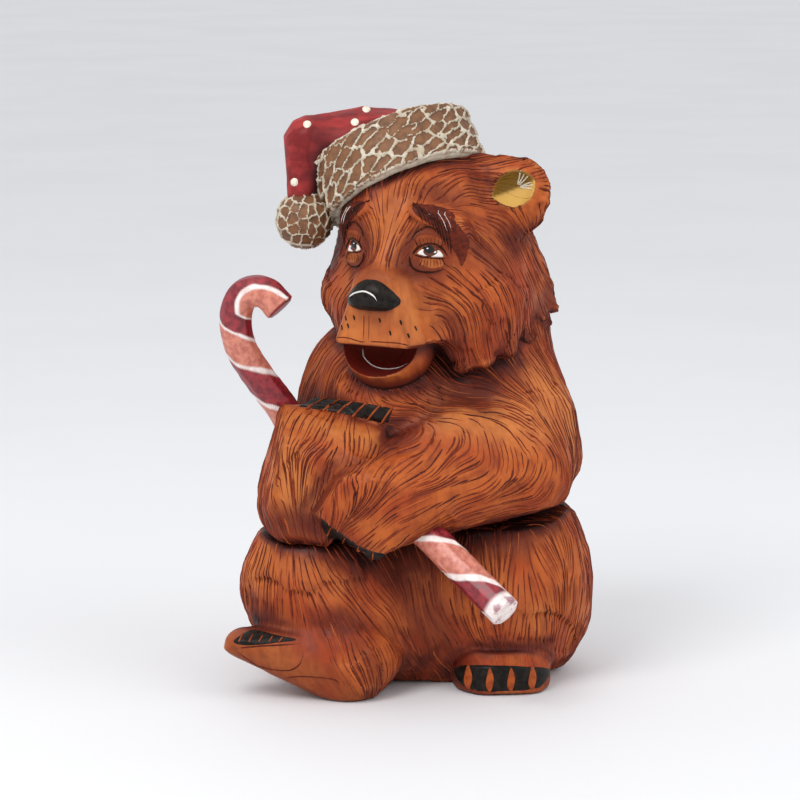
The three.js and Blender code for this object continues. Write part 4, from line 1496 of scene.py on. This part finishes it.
def cane(name, route, stripe, white_end, node):
    """A whittled rod along a route, with a spiral stripe and a flat end."""
    rings = 200 if FINE else 60
    around = 84 if FINE else 24
    path = smooth_through(route, rings)
    run = np.concatenate([[0], np.cumsum(np.linalg.norm(np.diff(path, axis=0), axis=1))])
    ahead = unit(np.gradient(path, axis=0))
    side = side_start = unit(np.cross(ahead[0], (0.3, 0.9, 0.2)))
    vertices, turn_at, run_at = [], [], []
    angles = np.linspace(0, 2 * math.pi, around, endpoint=False)
    flat = 2 * math.pi / CANE_FLATS
    for k in range(rings):
        side = unit(side - ahead[k] * (side @ ahead[k]))
        over = np.cross(ahead[k], side)
        polygon = math.cos(flat / 2) / np.cos((angles + CANE_TWIST * run[k]) % flat - flat / 2)
        radius = CANE_RADIUS * (CANE_ROUNDNESS + (1 - CANE_ROUNDNESS) * polygon)
        spoke = np.cos(angles)[:, None] * side + np.sin(angles)[:, None] * over
        vertices.append(path[k] + radius[:, None] * spoke)
        turn_at.append(angles / (2 * math.pi))
        run_at.append(np.full(around, run[k]))
    over = np.cross(ahead[0], side_start)
    front = math.atan2(over @ away, side_start @ away) / (2 * math.pi)
    end_ring = vertices[-1]
    for share in (0.88, 0.5):
        vertices.append(path[-1] + ahead[-1] * 0.3 + (end_ring - path[-1]) * share)
        turn_at.append(angles / (2 * math.pi))
        run_at.append(np.full(around, run[-1] + 0.3))
    vertices = np.concatenate(vertices)
    turn_at, run_at = np.concatenate(turn_at), np.concatenate(run_at)
    faces = []
    for first in range(0, (rings + 1) * around, around):
        for j in range(around):
            n = (j + 1) % around
            faces.append((first + j, first + n, first + around + n, first + around + j))
    faces.append(tuple(reversed(range(around))))
    faces.append(tuple((rings + 1) * around + j for j in range(around)))
    vertices = vertices + 0.06 * noise(vertices, 1.7)[:, None]
    runs, turns, halves = np.array(stripe, float).T
    wound = np.interp(run_at, runs, turns)
    half = np.interp(run_at, runs, halves)
    share = (wound + turn_at - front + 0.012 * noise(vertices, 2.0)) % 1
    edge = np.minimum(np.minimum(share, 1 - share), np.abs(share - 0.5))
    white = 1 - ramp(edge, half - 0.01, half + 0.01)
    pink = ramp(share, 0.0, 0.02) * (1 - ramp(share, 0.48, 0.5))
    ended = ramp(run_at, run[-1] - 0.1, run[-1] + 0.2)
    if white_end:
        fading = ramp(run_at, run[-1] - 3.2, run[-1] - 2.0)
        white = np.maximum(white, fading)
    else:
        white, pink = white * (1 - ended), pink * (1 - ended)
    piece = add_mesh(name, vertices, faces)
    paint(piece, white=white, pink=pink, end=ramp(run_at, run[-1] - 3.0, run[-1]) * white_end)
    finish_piece(piece, STRIPES, node)


STRIPES = striped_paint()
cane("cane_hook_carving", HOOK_ROUTE, HOOK_STRIPE, False, "cane_hook")
cane("cane_tip_carving", TIP_ROUTE, TIP_STRIPE, True, "cane_tip")

# ---- dowels inside ----
def birch():
    make = Maker("birch")
    grain = make.noise(900, 4, (1, 1, 0.1))
    colour = make.mix(make.spread(grain, 0.3, 0.7), (0.62, 0.44, 0.26), (0.44, 0.28, 0.14))
    return make.coat(None, colour, make.spread(grain, 0.3, 0.7, 0.55, 0.7), grain)


BIRCH, _ = birch()
for node_name, node_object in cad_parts.items():
    if "dowel" in node_name:
        for slot in node_object.material_slots:
            slot.material = BIRCH

# ---- floor and light ----
FLOOR = 9000  # from its middle to its edges
corners = [(-FLOOR, -FLOOR, 0), (FLOOR, -FLOOR, 0), (FLOOR, FLOOR, 0), (-FLOOR, FLOOR, 0)]
floor = add_mesh("floor", corners, [(0, 1, 2, 3)])
floor_coat, _ = paint_coat("floor", None, (0.84, 0.845, 0.86), (0.82, 0.825, 0.84), 0.6, 0.0, scale=8)
floor.data.materials.append(floor_coat)
world = bpy.data.worlds.new("studio")
bpy.context.scene.world = world
world.use_nodes = True
world.node_tree.nodes["Background"].inputs[0].default_value = (0.95, 0.957, 0.98, 1)
world.node_tree.nodes["Background"].inputs[1].default_value = 0.84
LAMPS = [("key", (-0.30, -0.40, 0.62), 2.6, 0.35), ("fill", (0.5, -0.25, 0.45), 0.9, 0.5)]  # watts and metres
for name, place, power, size in LAMPS:
    lamp = bpy.data.objects.new(name, bpy.data.lights.new(name, "AREA"))
    lamp.data.energy = power
    lamp.data.size = size
    look(lamp, (0, 0, 0.06), place)
bpy.context.scene.view_settings.view_transform = "Standard"
